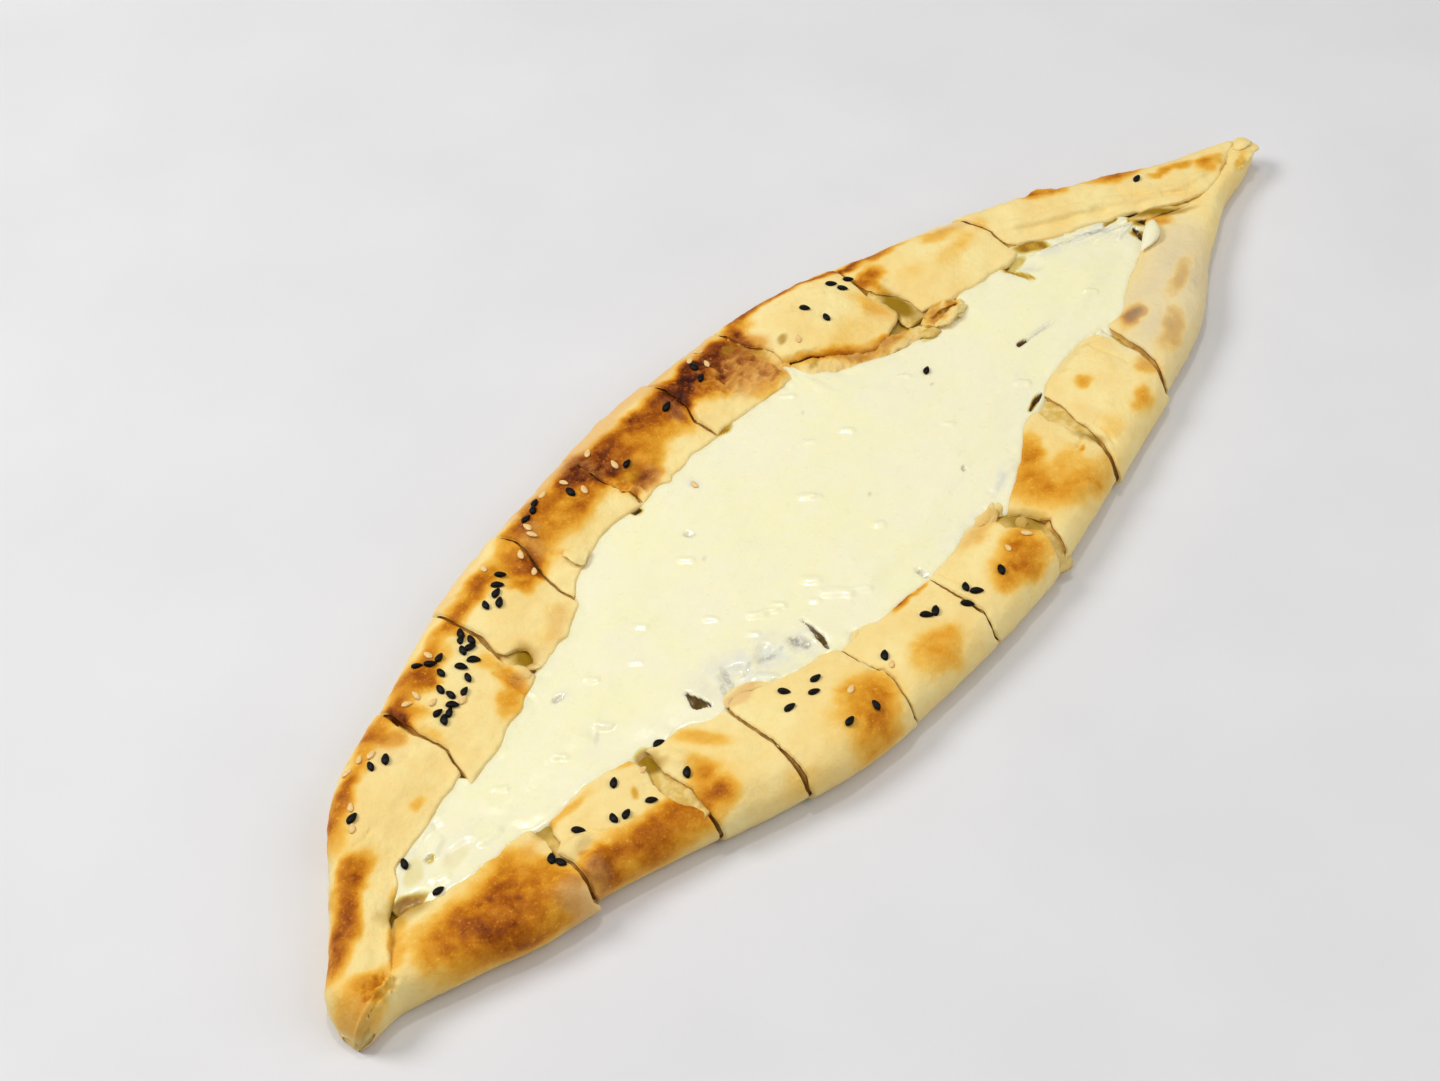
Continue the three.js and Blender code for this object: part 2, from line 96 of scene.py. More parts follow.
# Sizes of the dough
BASE = 3.4               # top of the base
LIP_DROP = 1.6           # of a lip below the rim
FLAP_ROOT = 4.4          # thickness of a flap by the wall
FLAP_LIP = 2.4           # and at its lip
LIP_TUCK = 1.4           # of a lip's underside behind its edge
FOLD_WALL = 6.5          # thickness of a side wall
FOOT_INSET = 3.2         # of the bottom edge from the widest line
CREST_INSET = 8.0        # of the highest line from the widest line
WAIST = 0.46             # height of the widest line, as a share of the crest's
NARROW = 0.42            # most of a narrow flap that its crest or its wall takes
TIP_ROUND = 5.5          # length over which a tip reaches its full height
TIP_WIDE = 2.6           # and its full width
FILLING_ENDS = (-168.0, 152.0)
FILLING_CLEAR = 0.94     # of the cavity's width that the filling takes

# Real inner edges of the flaps, slice by slice: x, y
FAR_LIPS = [
    [(-199, -13), (-196, -15), (-192, -15.3), (-186, -14.7), (-183.6, -13.5), (-181.7, -11.2),
     (-179.1, -7.9), (-174.8, -4.4), (-171.8, -1.6), (-169.5, 0.6), (-163.5, 4.2), (-161, 6), (-159, 8.6),
     (-155, 9.4), (-148, 10.3), (-140, 12.2), (-134, 13.5), (-127, 14.6)],
    [(-131, 9.4), (-126, 11), (-120, 11.8), (-115.5, 12.7), (-110, 15), (-104, 15.6), (-100.3, 17.5),
     (-97.5, 18), (-93, 19.6)],
    [(-93, 20), (-89.5, 20.2), (-85, 21), (-81.5, 21.7), (-78.5, 21.7), (-76, 23), (-72, 24.5), (-69, 26.2),
     (-66, 27.2)],
    [(-68, 28.6), (-66.5, 29.3), (-64, 31), (-58, 33.2), (-51, 35), (-46, 36), (-41, 36), (-36.5, 35.2),
     (-31, 34.2)],
    [(-33, 34), (-28, 35), (-24, 35.2), (-21, 33), (-19.5, 34.2), (-15, 34), (-10, 35), (-6, 34.2),
     (-2, 33.6), (2, 33.4)],
    [(0, 33.5), (4, 34), (10, 33), (16, 32), (22, 31.4), (27, 31), (33, 30.5)],
    [(30, 37.5), (33.5, 36), (37, 34), (42, 30.5), (45, 26.5), (48, 22.5), (51, 20.5), (56, 18.6),
     (62, 20.2), (66.5, 21.5), (70, 23.5)],
    [(71, 18), (73, 17.5), (77, 16), (82, 13.5), (86, 13.3), (91, 11.2), (98, 10.4), (104, 8.8), (112, 9.7)],
    [(110, 13.2), (116, 9.7), (120.6, 5.6), (126.3, 2.6), (132, 0.4), (137.7, -3.1), (142, -5), (147, -8.1),
     (150, -9.8), (155, -14.8), (160, -17.6), (165, -19), (169, -19.6), (173, -19.2), (180, -17.2),
     (186, -15.8), (193, -14.8), (199, -13.4)],
]
NEAR_LIPS = [
    [(-199, -12), (-185, -8), (-176, -4), (-170, -0.8), (-166, -1.8), (-162, -3.4), (-156, -5.6),
     (-150, -7.2), (-143, -7.7), (-130, -8.7)],
    [(-130, -10), (-125, -11.6), (-119, -11.8), (-114, -12), (-109, -13), (-105, -14.2), (-99, -16.3)],
    [(-98, -16), (-95.5, -16.4), (-93, -17.8), (-90, -18.7), (-86, -19.3), (-83, -20.7), (-80, -23.3),
     (-76, -24.7), (-73, -25)],
    [(-75, -25), (-73, -24.3), (-71.5, -23), (-67, -24), (-63.5, -26), (-61, -28.5), (-57, -30.8),
     (-53, -32.5), (-49, -33.5), (-45, -34.2), (-41, -36.4)],
    [(-43, -36.6), (-38, -37.2), (-35, -36.3), (-31, -37.5), (-27, -39.3), (-22, -39.8), (-17, -40.3),
     (-12, -41), (-8, -41.2)],
    [(-10, -41.2), (-2, -41.4), (5, -40.8), (10, -39.5), (15, -40), (19, -41.4), (24, -43.6)],
    [(20, -45.4), (27.5, -42.3), (32.5, -40.2), (37.5, -38.2), (41, -37), (46, -34), (51, -31), (55, -29.6),
     (61, -29.2)],
    [(62, -29), (65, -28), (68, -26.6), (72, -25.5), (77, -25.2), (84, -24.7), (90, -24.7), (95, -25.6)],
    [(95, -31), (97, -29), (100, -27.4), (105, -28), (110, -26.2), (116, -23.4), (122, -21.4), (128, -19.5),
     (134, -17.5), (140, -15), (145, -12.3), (148, -11), (152, -12), (160, -14.5), (199, -14)],
]
# Knife cuts: x on the centre line, slope, kerf
CUTS = [
    (-130, 0.12, 1.0), (-96, 0.11, 1.0), (-71, 0.13, 1.0), (-37, 0.11, 1.2), (-2, 0.12, 1.0),
    (27, 0.12, 1.0), (66, 0.16, 1.2), (104, 0.22, 1.4),
]
# Flap edges along each cut: y, end of the slice before, start of the slice after
FAR_CUTS = [
    [(8, -131, -130.4), (14, -128, -127.6), (18, -127, -126.4), (22, -125.2, -124.4), (27, -125.5, -124.7),
     (31, -126.6, -125.3), (34, -126.8, -124.8), (37, -127.1, -125), (41, -126.4, -124.8),
     (44, -125.6, -124.4)],
    [(18, -93.6, -92.2), (21, -93.8, -92.6), (22.6, -93.8, -91.4), (24, -94.6, -89.8), (26.5, -96.1, -88.8),
     (28.6, -96, -90.4), (30, -95.5, -94.3), (33, -94.8, -94.1), (36, -94.4, -93), (39, -93.5, -92.2),
     (43, -93.4, -92.6), (47, -93.6, -93)],
    [(26, -68.2, -67.2), (31, -68.7, -67.9), (36, -68.2, -67.4), (40, -67.2, -66.4), (43, -66, -65),
     (46.5, -64.6, -63.8), (52, -63.6, -63), (57, -63.4, -62.9)],
    [(33, -32.2, -31.4), (36, -31.6, -30.8), (38.5, -30.2, -29.4), (41, -32.4, -31.6), (43, -32, -31.2),
     (47, -33, -32.3), (52, -33.2, -32.5), (58, -32, -31.4)],
    [(33, 0, 0.5), (37, 0, 0.6), (41, 0.2, 0.8), (43.5, 0.8, 1.5), (46.5, 2.6, 3.3), (50, 2.8, 3.4),
     (54, 3.2, 3.8), (59, 3.3, 3.8)],
    [(29, 30, 30.8), (34, 29.6, 31.4), (37, 29.4, 33.2), (41, 29.8, 34.3), (45, 29.8, 33.4),
     (48, 29.8, 31.4), (53, 30.2, 31.2), (58, 31, 31.8)],
    [(16, 68.4, 73), (20, 68.6, 74), (23, 68.8, 74.7), (27, 69.5, 74.2), (30, 69, 72.2), (32, 68.2, 71.2),
     (36, 69.3, 70.6), (40, 70.4, 71.5), (44, 71.2, 72.2), (48, 71.8, 72.6)],
    [(9, 109.8, 113.4), (12, 110.4, 113), (14, 110.6, 111.8), (17, 111, 111.7), (20.5, 112.3, 112.9),
     (25.5, 111.6, 112.2), (32, 111.4, 112)],
]
NEAR_CUTS = [
    [(-8, -130.6, -127), (-11.5, -130.7, -126.2), (-14.8, -131.2, -128.6), (-18, -132.8, -129.6),
     (-20, -134.6, -133.4), (-25, -133.9, -132.7), (-30, -135.2, -133.8), (-35, -137.4, -136)],
    [(-15, -100.2, -95.2), (-18, -100.2, -95.6), (-21, -100.5, -97), (-25, -103, -98.6),
     (-29.5, -104, -98.7), (-34, -104, -98.6), (-37, -102.8, -100.2), (-40, -102, -101.4),
     (-46, -102.6, -102.1), (-52, -103.4, -102.9)],
    [(-24, -73.9, -73), (-30, -75, -74.1), (-36, -75.7, -74.7), (-42, -76.5, -75.8), (-45, -77.6, -76.7),
     (-50, -79, -77.6), (-54, -80.2, -78.6), (-58, -82.6, -81.4)],
    [(-34, -41.6, -41.3), (-42, -42.2, -41.9), (-48, -42.2, -41.8), (-50, -41.6, -41.1), (-54, -42.6, -42.1),
     (-58, -44.8, -44.3), (-62, -46.2, -45.6)],
    [(-40, -8.9, -8.5), (-46, -9.9, -9.5), (-50, -10.4, -9.9), (-57, -11, -10.5), (-60, -10.9, -10.4),
     (-64, -12.6, -12.1)],
    [(-39, 24, 25), (-42, 19.6, 22.6), (-44.5, 18.4, 21.5), (-47.5, 17.5, 24), (-50, 19, 24.4),
     (-53, 20, 24.5), (-55.8, 21.8, 26.6), (-58, 21, 24.6), (-61, 19.2, 23.6), (-65, 17, 22)],
    [(-26, 59.6, 65.8), (-30, 59.4, 65.3), (-34, 58.1, 65), (-38, 58.6, 63.4), (-41, 57.8, 62),
     (-45, 58.5, 61.8), (-50, 57.6, 59.6), (-54, 56, 57.6), (-59, 54, 55.2)],
    [(-24, 94.6, 99.4), (-28, 95.4, 99.4), (-32, 95.8, 98.7), (-36, 95.2, 97.5), (-41, 94.4, 96.3),
     (-46, 92.6, 94.4), (-50, 90.2, 92), (-54, 88, 89.6)],
]
# Each slice: how far its far and near sides stand out, and how much higher it is
SLICES = [
    (1.0, 1.8, 0.3), (0.5, -0.7, -0.3), (0.8, 0.1, 0.1), (0.3, 0.8, 0.4), (0.8, 0.1, -0.2), (-0.9, 0.2, 0.4),
    (-0.9, -0.6, 0.3), (-1, 0.9, -0.3), (0.2, -0.6, 0.0),
]

# Fine surface: station spacing, then columns round one side of a slice
STEP = 0.6
CUT_STEPS = (0.1, 0.3)   # of the first stations from a cut
COLUMNS_FOLD_LOW = 10
COLUMNS_FOLD_TOP = 18
COLUMNS_FLAP = 52
COLUMNS_LIP = 6
COLUMNS_BASE = 12
CAP_ROWS = 5
COLUMNS_HIDDEN = 7       # of the filling: under each flap, and in the mouth
COLUMNS_SHOWN = 142

# Layers of noise: height, feature size, seed
LIP_RAGS = [(0.34, 4.2, 0), (0.2, 1.7, 1), (0.12, 0.8, 2)]
TORN_CUT = [(0.16, 2.4, 60), (0.1, 1.1, 80)]
SKIN_SWELLING = [(0.45, 14, 41), (0.24, 5, 71)]
LABNEH_SWELLING = [(0.25, 24, 7), (0.08, 6, 9)]
CUT_ROUNDING = (0.13, 0.06, 0.015)   # how far the first rows by a cut draw together
CUT_RIM = 0.6            # how much of the crumb's colour the skin has right at a cut
FAR_AWAY = 99.0

# Spots are soft-edged ellipses: x, y, half length, half width, turn in degrees, amount.
# Browning of the crust
BROWN = [
    # blunt tip and first slice
    (-196, -11, 9, 8, 0, 0.24), (-188, -9, 4, 3.4, 0, 0.3), (-186, -10.6, 6, 1.5, 18, 0.2),
    (-179.4, 5.4, 9, 3.2, 33, 0.7), (-170.2, 13, 7, 3.4, 22, 0.66), (-187, 2, 5, 2.6, 42, 0.3),
    (-164, 16.4, 5, 2.6, 0, 0.26), (-152, 32, 9, 3, 20, 0.6), (-137, 38, 6, 2.8, 10, 0.36),
    (-130.6, 41.4, 5, 3, 5, 0.5), (-131, 34.6, 4, 3, 0, 0.34), (-141.5, 17.6, 1.9, 1.9, 0, 0.28),
    (-160, 26, 7, 3, 45, 0.26), (-174, -5.4, 9, 1.5, 38, 0.26), (-165, 3, 3, 1, 35, 0.16),
    (-157, -18, 17, 9, -10, 0.4), (-151, -20.6, 11, 8.4, -10, 0.24), (-166, -14, 8, 5, -10, 0.24),
    (-149, -28, 9, 4.6, -20, 0.24), (-140, -12, 6, 3.6, 0, 0.24), (-146, -14, 8, 5.4, 0, 0.18),
    (-172, -19, 8, 5, -25, 0.1), (-160, -24, 10, 4, -25, 0.2), (-167, -9.6, 8, 3, -15, 0.2),
    (-139, -22, 4, 6, 0, 0.32), (-163, -28, 10, 2.4, -25, 0.24), (-151, -33, 12, 3.4, -25, 0.36),
    (-156, -19, 12, 6, -12, 0.16),
    # second slice
    (-116, 42, 8.4, 4.2, 12, 0.5), (-111, 41, 5, 3, 20, 0.36), (-122.4, 38, 2.4, 6, 20, 0.36),
    (-100, 47, 7, 2.4, 8, 0.34), (-103, 19, 6, 2.6, 20, 0.34), (-98.5, 24, 1.8, 6, 0, 0.3),
    (-98, 33, 3, 3, 0, 0.2), (-124.4, 30, 1.6, 8, 0, 0.16), (-124.6, 38.6, 1.6, 4.6, 0, 0.6),
    (-104, 43, 5, 3, 0, 0.24), (-94.4, 44, 1.8, 5, 0, 0.24), (-120, -32, 14, 4.8, -14, 0.44),
    (-117, -38, 11, 3.6, -18, 0.36), (-112, -34, 8, 4, -15, 0.28), (-127, -29.4, 6, 2.8, -10, 0.3),
    (-104, -37, 5, 4, -20, 0.34), (-122, -13, 8, 1.5, -5, 0.24), (-108, -23.6, 1.7, 1, 15, 0.3),
    (-131, -33, 4, 3, 0, 0.26), (-103, -15.6, 3, 1.4, -15, 0.2),
    # third slice
    (-84, 48.6, 9, 2.8, 8, 0.42), (-90, 49.6, 4, 2.4, 0, 0.3), (-76, 50, 6, 2.6, 0, 0.32),
    (-70, 44, 5, 5, 0, 0.42), (-66.6, 45, 2.8, 5, 20, 0.5), (-74, 41, 3, 2.4, 0, 0.3),
    (-67.5, 40, 1.1, 2, 0, 0.46), (-78, 27, 10, 3, 15, 0.12), (-97, -36, 8, 5, 15, 0.3),
    (-93.6, -31, 3, 4.6, -20, 0.28), (-85, -26, 3.2, 7, 25, 0.26), (-82, -54, 8, 3, -20, 0.12),
    (-97, -41, 7, 3.4, 10, 0.34),
    # fourth slice
    (-57, 50, 10, 5.6, 0, 0.36), (-45, 53.6, 11, 3.8, 3, 0.46), (-38, 52, 6.4, 5.4, 0, 0.44),
    (-33.6, 53, 4, 5.6, 0, 0.72), (-46, 45, 7, 3.8, 0, 0.34), (-62, 53, 6, 3, 8, 0.36),
    (-53, 56.4, 8, 1.8, 5, 0.36), (-40, 46, 6, 4, 0, 0.24), (-60, 44, 5, 4, 0, 0.2),
    (-35, 55.4, 4, 2.2, 0, 0.5), (-52, -55, 9, 6.6, 20, 0.32), (-58, -59, 9, 4, 10, 0.26),
    (-50, -49, 6, 5, 0, 0.24), (-62, -52, 7, 5, 20, 0.14),
    # fifth slice
    (-29.6, 52, 3.6, 7, 10, 0.66), (-26, 54.8, 6.4, 3, 0, 0.56), (-19, 54.8, 8, 2.4, 0, 0.5),
    (-28, 44, 5, 6, 0, 0.48), (-21, 50, 5, 5, 30, 0.42), (-24, 40, 6, 3, 5, 0.4), (-18, 43, 6, 4, 0, 0.28),
    (-12, 48, 6, 5, 0, 0.26), (-5, 50, 6, 4, 0, 0.42), (-7, 53.6, 7, 2.6, 0, 0.5),
    (-5, 43, 4, 2.6, -15, 0.3), (1, 48.6, 2.8, 6, -15, 0.64), (-18, 50, 14, 6, 0, 0.22),
    (-12, 54, 6, 3, 0, 0.2), (0, 54, 4, 3.6, 0, 0.42), (-28, -57, 8, 5.6, 0, 0.3),
    (-25, -56, 4, 3.4, 0, 0.14), (-20, -40.9, 3.6, 1.1, 0, 0.5), (-13, -41.4, 3, 0.9, 0, 0.34),
    # sixth slice
    (4, 52, 2.6, 5, 0, 0.8), (14, 51, 13, 5, 0, 0.26), (11, 52.4, 8, 3.2, 4, 0.78),
    (21, 52.8, 9, 3.4, -4, 0.68), (14, 49, 8, 3, 0, 0.5), (22, 46, 9, 6, 0, 0.44), (28, 45, 3.6, 8, 0, 0.4),
    (19, 38, 6, 5, 0, 0.1), (30, 37, 4, 4, 0, 0.24), (12, 44, 3, 4, 30, 0.24), (26, 35, 7, 3.4, 0, 0.36),
    (28.2, 34.4, 0.9, 0.9, 0, 0.6), (15, 49.6, 15, 6.4, 0, 0.26), (8, -55, 10, 4.8, 15, 0.3),
    (15, -55, 7, 5, 0, 0.28), (2.6, -59, 6, 3.2, 10, 0.22), (12, -60, 7, 3, 0, 0.24),
    (12, -43, 9, 2.6, 0, 0.16),
    # seventh slice
    (36, 55, 6, 3.6, 20, 0.44), (42, 56.4, 6, 2.2, 0, 0.44), (50, 55.4, 8, 1.6, -6, 0.44),
    (58, 52.4, 7, 1.5, -20, 0.44), (66, 48.6, 6, 1.6, -26, 0.5), (33, 50, 2.2, 5, 0, 0.42),
    (40, 30.6, 6, 2, -36, 0.4), (47, 23, 6, 2, -45, 0.4), (55, 18, 6, 2, -12, 0.44),
    (61, 17.4, 5, 2, -8, 0.4), (52, 27, 12, 6, -10, 0.12), (66, 30, 3, 7, 0, 0.18),
    (38, -41, 9, 3.6, 20, 0.28), (46, -36, 6, 2.8, 33, 0.28), (36, -50, 10, 4.8, 10, 0.28),
    (47, -47.4, 7, 3.8, 14, 0.16), (50, -55, 7, 4, 0, 0.18), (40, -55, 8, 4, 0, 0.24),
    (33, -45, 6, 5, 0, 0.2), (52.6, -47.6, 1.2, 0.8, 0, 0.4),
    # eighth slice
    (74, 45.2, 4, 1.8, -28, 0.66), (80, 42.6, 7, 1.8, -26, 0.48), (88, 39.4, 6, 1.4, -26, 0.36),
    (76, 36.6, 4.2, 3.2, 10, 0.5), (72, 36, 1.8, 4, 0, 0.42), (71.6, 29, 1.6, 4, 0, 0.3),
    (83, 28, 5, 3, 0, 0.12), (96, 24, 6, 3.2, 0, 0.15), (104.6, 24, 4, 3, 0, 0.13),
    (102, 31, 6, 2.2, -25, 0.24), (75.5, -34.6, 3, 2.1, 15, 0.34), (91, -44.4, 3.6, 3.8, 30, 0.3),
    (79.8, -50.4, 4.2, 2.7, 10, 0.36), (66, -50, 4, 4, 0, 0.16), (72.4, 12, 3, 1.6, 0, 0.44),
    (79.4, 11.4, 2.6, 1, 0, 0.6), (75, 14.6, 4, 1.2, 0, 0.34),
    # ninth slice and the thin tip
    (107, -31, 3.2, 1.9, 0, 0.8), (106, -30.6, 5.4, 3, 0, 0.2), (147, -13.8, 3.6, 3, -30, 0.38),
    (107, -43, 8, 3, 20, 0.26), (128, -33, 8, 2.2, 18, 0.2), (178, -13.4, 5, 2.6, 5, 0.4),
    (186, -20, 5, 1.4, 10, 0.2), (172, -8.6, 3, 1.7, -15, 0.32), (112.6, 24, 2.6, 3, 0, 0.16),
    (137, 18.6, 7, 3, -32, 0.5), (155, 6.4, 8, 2.6, -36, 0.5), (166, -5.2, 4, 1.4, -25, 0.34),
]
# Thin pinkish dough
PINK = [
    (-32, 52.4, 4, 4, 20, 0.8), (-0.5, 48.6, 3, 4.6, -15, 0.8), (-140.5, -30.6, 4.4, 3.8, -30, 0.9),
    (-131.6, -30.6, 4, 2.8, 20, 0.9), (-78, 26, 7, 2.4, 20, 0.35), (-96, 21, 3, 3, 0, 0.5),
    (22, 43, 9, 8, 0, 0.75), (28, 37, 5, 4, 0, 0.7), (-25, 38.4, 5, 2.4, 5, 0.8), (12, -42, 9, 2.4, 0, 0.4),
    (-68, -25, 6, 2, -15, 0.8), (66, 26, 4, 5, 0, 0.3), (-197, -13, 6, 6, 0, 0.35),
    (50, 19, 20, 3, -28, 0.35), (-30, 60.4, 7, 2, 0, 0.6), (-42, 60, 8, 1.6, 0, 0.4),
    (-134, -13, 3, 4, 0, 0.3), (-50, 60.4, 12, 3, 3, 0.8), (-33, 59, 6, 4, 0, 0.9),
    (-18, 61, 12, 3.4, 0, 0.85), (2, 61, 14, 3.4, 0, 0.85), (22, 59.6, 9, 2.8, -6, 0.8),
    (-80, 56, 14, 2.6, 12, 0.5), (-58, 51, 4, 3, 20, 0.6), (-62, 46, 3, 3, 0, 0.5),
    (-134, 33, 6, 4, 20, 0.35), (34, 48, 3, 6, 0, 0.5), (-89, 22, 4, 2, 0, 0.4), (107, 30, 6, 2, -30, 0.6),
]
# Greasy olive stains, which in the cuts and pockets are also painted shade
OLIVE_GREASE_AND_SHADE = [
    (151.5, -13.8, 9, 1.7, -38, 1), (-166, -1, 6, 3, -15, 1), (-97, -18, 3, 3, 0, 1),
    (39, 40.8, 1.7, 1.1, 15, 1), (37.6, 28.6, 2, 0.9, 10, 0.8), (-26, 44, 3.6, 3, 0, 0.4),
    (26, 49.4, 3, 1.6, 0, 0.6), (-108, -23.6, 1.8, 1, 0, 0.4), (82, -27, 9, 1, 0, 0.2),
    (-97.6, -20.6, 3, 3, 0, 1), (-128.6, -11.4, 3, 2.6, 0, 0.7), (-91, 25.6, 3.4, 3.6, 0, 1),
    (71.6, 25, 3, 6, 0, 1), (22, -49, 3.2, 6, 10, 0.8), (58.4, -47, 2, 5, 20, 0.8), (32, 43, 1.4, 3, 0, 0.5),
]
# Grey-beige skin of the last near flap
PALE = [(120, -35, 26, 12, 18, 0.9), (140, -25, 14, 7, 25, 0.5)]
# Creases and ridges in the skin: half width, height (grooves negative), points; grooves also get a little
# painted shade
CREASES = [
    (0.5, -0.5, [(-60, 42), (-58, 38.5), (-56.6, 35.6)]),
    (0.4, -0.4, [(-43.5, -47), (-43.4, -48.6), (-41.6, -49.4)]),
    (0.5, -0.5, [(-6, -43), (-6.1, -46), (-6.3, -49)]), (0.6, -0.5, [(-99.7, 28), (-99.4, 23), (-99.8, 18)]),
    (0.6, -0.5, [(-96.6, 29), (-96, 25), (-93.4, 21.4)]),
    (0.5, -0.5, [(-123.4, -21.6), (-122.6, -24), (-120.8, -26)]),
    (0.7, -0.8, [(-130.4, -25.4), (-128.6, -26.4), (-127.2, -28)]),
    (0.5, -0.5, [(-147, 34.4), (-143, 35), (-139, 35.2)]),
    (0.4, -0.4, [(-160.4, 20.2), (-158, 19.6), (-155, 20)]),
    (0.5, -0.6, [(4.4, 45), (4.3, 42.6), (4.8, 41)]), (0.7, -0.8, [(0.5, 42), (2, 44.4), (4, 46.6)]),
    (0.5, -0.5, [(52.4, -47), (55, -46.4), (58.4, -45)]),
    (0.4, -0.5, [(47.8, -50.6), (48, -53.6), (49.2, -56.4)]),
    (0.4, -0.4, [(40, -54), (44, -55.4), (46, -58.6)]),
    (0.5, -0.5, [(64, -45.6), (63.4, -49), (60.6, -53.4)]),
    (0.7, -0.35, [(89.4, -28), (89.8, -34), (89.6, -40)]),
    (0.5, -0.4, [(-54.8, -44), (-54, -46.4), (-52, -46.6)]), (0.6, -0.5, [(-39.4, -51.4), (-38.4, -50.4)]),
    (0.5, -0.4, [(-60, -58.6), (-56, -57), (-53, -58)]), (0.5, -0.4, [(-88.6, -45), (-89, -49)]),
    (0.8, -0.7, [(-189.6, -10.4), (-187, -11.4), (-183.4, -10.8)]),
    (0.8, -0.7, [(-189.4, -13), (-186.6, -13.4), (-183, -12.6)]),
    (0.7, 0.5, [(-190, -11.8), (-187, -12.4), (-183.4, -11.8)]),
    (2.6, 0.6, [(-184, -3), (-176, 3), (-166, 8)]), (0.6, -0.6, [(185.8, -16), (188.6, -18), (191, -20.2)]),
    (0.6, -0.5, [(185.6, -15.6), (190, -15), (194, -14.2)]),
    (0.6, -0.6, [(-188.6, -9), (-186.6, -12), (-184.6, -14)]), (0.6, -0.5, [(-191, -11.4), (-188, -13.4)]),
    (0.5, 0.5, [(-186.8, -8), (-184.6, -11.2), (-182.6, -12.6)]),
    (1.4, 0.7, [(118, 17), (130, 9.6), (143, 2), (156, -9)]),
    (1.0, -0.5, [(118, 13.6), (130, 6.4), (141, -0.4)]), (1.2, 0.5, [(160, -11), (170, -14), (182, -15)]),
    (0.7, -0.6, [(152, -4), (158, -11), (163, -15.4)]), (0.6, -0.6, [(33.6, 36.4), (37, 34.6), (42, 31)]),
    (0.6, -0.5, [(50, 50.6), (53.6, 50.6)]), (0.5, -0.5, [(49.6, 44.6), (52, 46.8)]),
    (0.6, -0.5, [(60.4, 46.8), (62, 46), (64, 46.6)]),
    (0.8, -0.6, [(33, 52), (35, 50.4), (38, 53.6), (40, 55.6)]),
    (0.7, -0.7, [(18, 56), (18.4, 52), (18.2, 49.6)]), (0.7, -0.7, [(22.4, 57), (22.6, 54)]),
    (0.7, 0.7, [(29.6, 50), (31, 52), (31.8, 56)]), (0.6, -0.5, [(12, -62), (7, -63.4), (2, -65)]),
    (0.6, -0.5, [(5.4, -58), (8.6, -59)]),
]
# Crumpled skin: spots with the height as the amount, then the size of a wrinkle; the folds also get painted
# light and shade
CRUMPLES = [
    (22, 44, 9, 7, 0, 2.4, 2.7), (27, 37, 6, 5, 0, 2.2, 2.4), (13, 47, 5, 5, 0, 1.6, 2.6),
    (-29, 41, 5, 5, 0, 1.6, 3), (2, 46, 2.6, 6, 0, 1.4, 2.4), (-33, 53, 4, 5, 0, 1.6, 2.6),
    (74, 34, 3.4, 4, 0, 1.1, 3), (-30, 46, 5, 8, 0, 0.9, 5), (4, 50, 4, 5, 0, 0.9, 3.5),
    (-187, -11.6, 5, 3.4, 0, 0.8, 2.6), (-96.4, 23, 3.4, 4.4, 0, 0.8, 3), (20, -41.6, 4, 2.6, 0, 1, 3),
    (38, 55, 5, 3, 20, 1, 4), (-34, 56, 5, 4, 0, 0.9, 4), (-133, -31, 5, 4, 0, 0.6, 4),
    (-64, 50, 5, 4, 0, 0.7, 4), (45, -53, 9, 5, 10, 0.5, 4.6), (-55, -55, 9, 5, 10, 0.4, 4.6),
    (-27, -57, 7, 4, 0, 0.4, 4), (8, -56, 8, 4, 0, 0.4, 4), (-156, -18, 16, 9, 0, 0.5, 4.4),
    (-118, -33, 14, 4, -12, 0.5, 4),
]
# Soft swellings and hollows of the flaps: spots with the height as the amount
SWELLS = [
    (-195, -11, 8, 7, 0, 1.6), (-145, 24, 12, 8, 25, 0.8), (-112, 28, 12, 9, 10, 0.9), (-82, 36, 9, 9, 0, 1),
    (-50, 46, 12, 7, 0, 1), (-17, 48, 11, 8, 0, 0.9), (-28, 45, 5, 8, 0, -1.6), (8, 42, 7, 7, 0, 0.8),
    (24, 42, 8, 7, 0, -0.9), (50, 38, 13, 10, -10, 1.3), (92, 26, 14, 9, -10, 1),
    (-150, -18, 14, 8, -10, 0.9), (-116, -24, 12, 8, -15, 0.9), (-88, -35, 9, 11, 20, 1),
    (-60, -45, 12, 9, -10, 1), (-26, -50, 12, 8, 0, 0.9), (4, -52, 11, 8, 0, 0.9), (40, -46, 12, 8, 10, 1),
    (78, -38, 11, 10, 0, 0.8), (118, -34, 20, 7, 20, 0.8), (-140, -28.6, 3.4, 3, 0, 2.2),
    (-130.4, -29.7, 3.6, 2.8, 20, 2.2), (-130.3, -21.8, 2.6, 2.2, 0, 1.9), (-127.3, -22.6, 2, 2, 0, 1.4),
    (-94, -25, 2.4, 3.4, 20, 1.6), (-60, 50, 4.6, 3.6, 20, 0.9), (-72, 45, 4, 3, 0, -0.8),
    (0, 40, 1, 6, 0, -0.5), (-150, 33, 5, 2, 10, 0.6), (-116, 42, 7, 3, 10, 0.7),
]
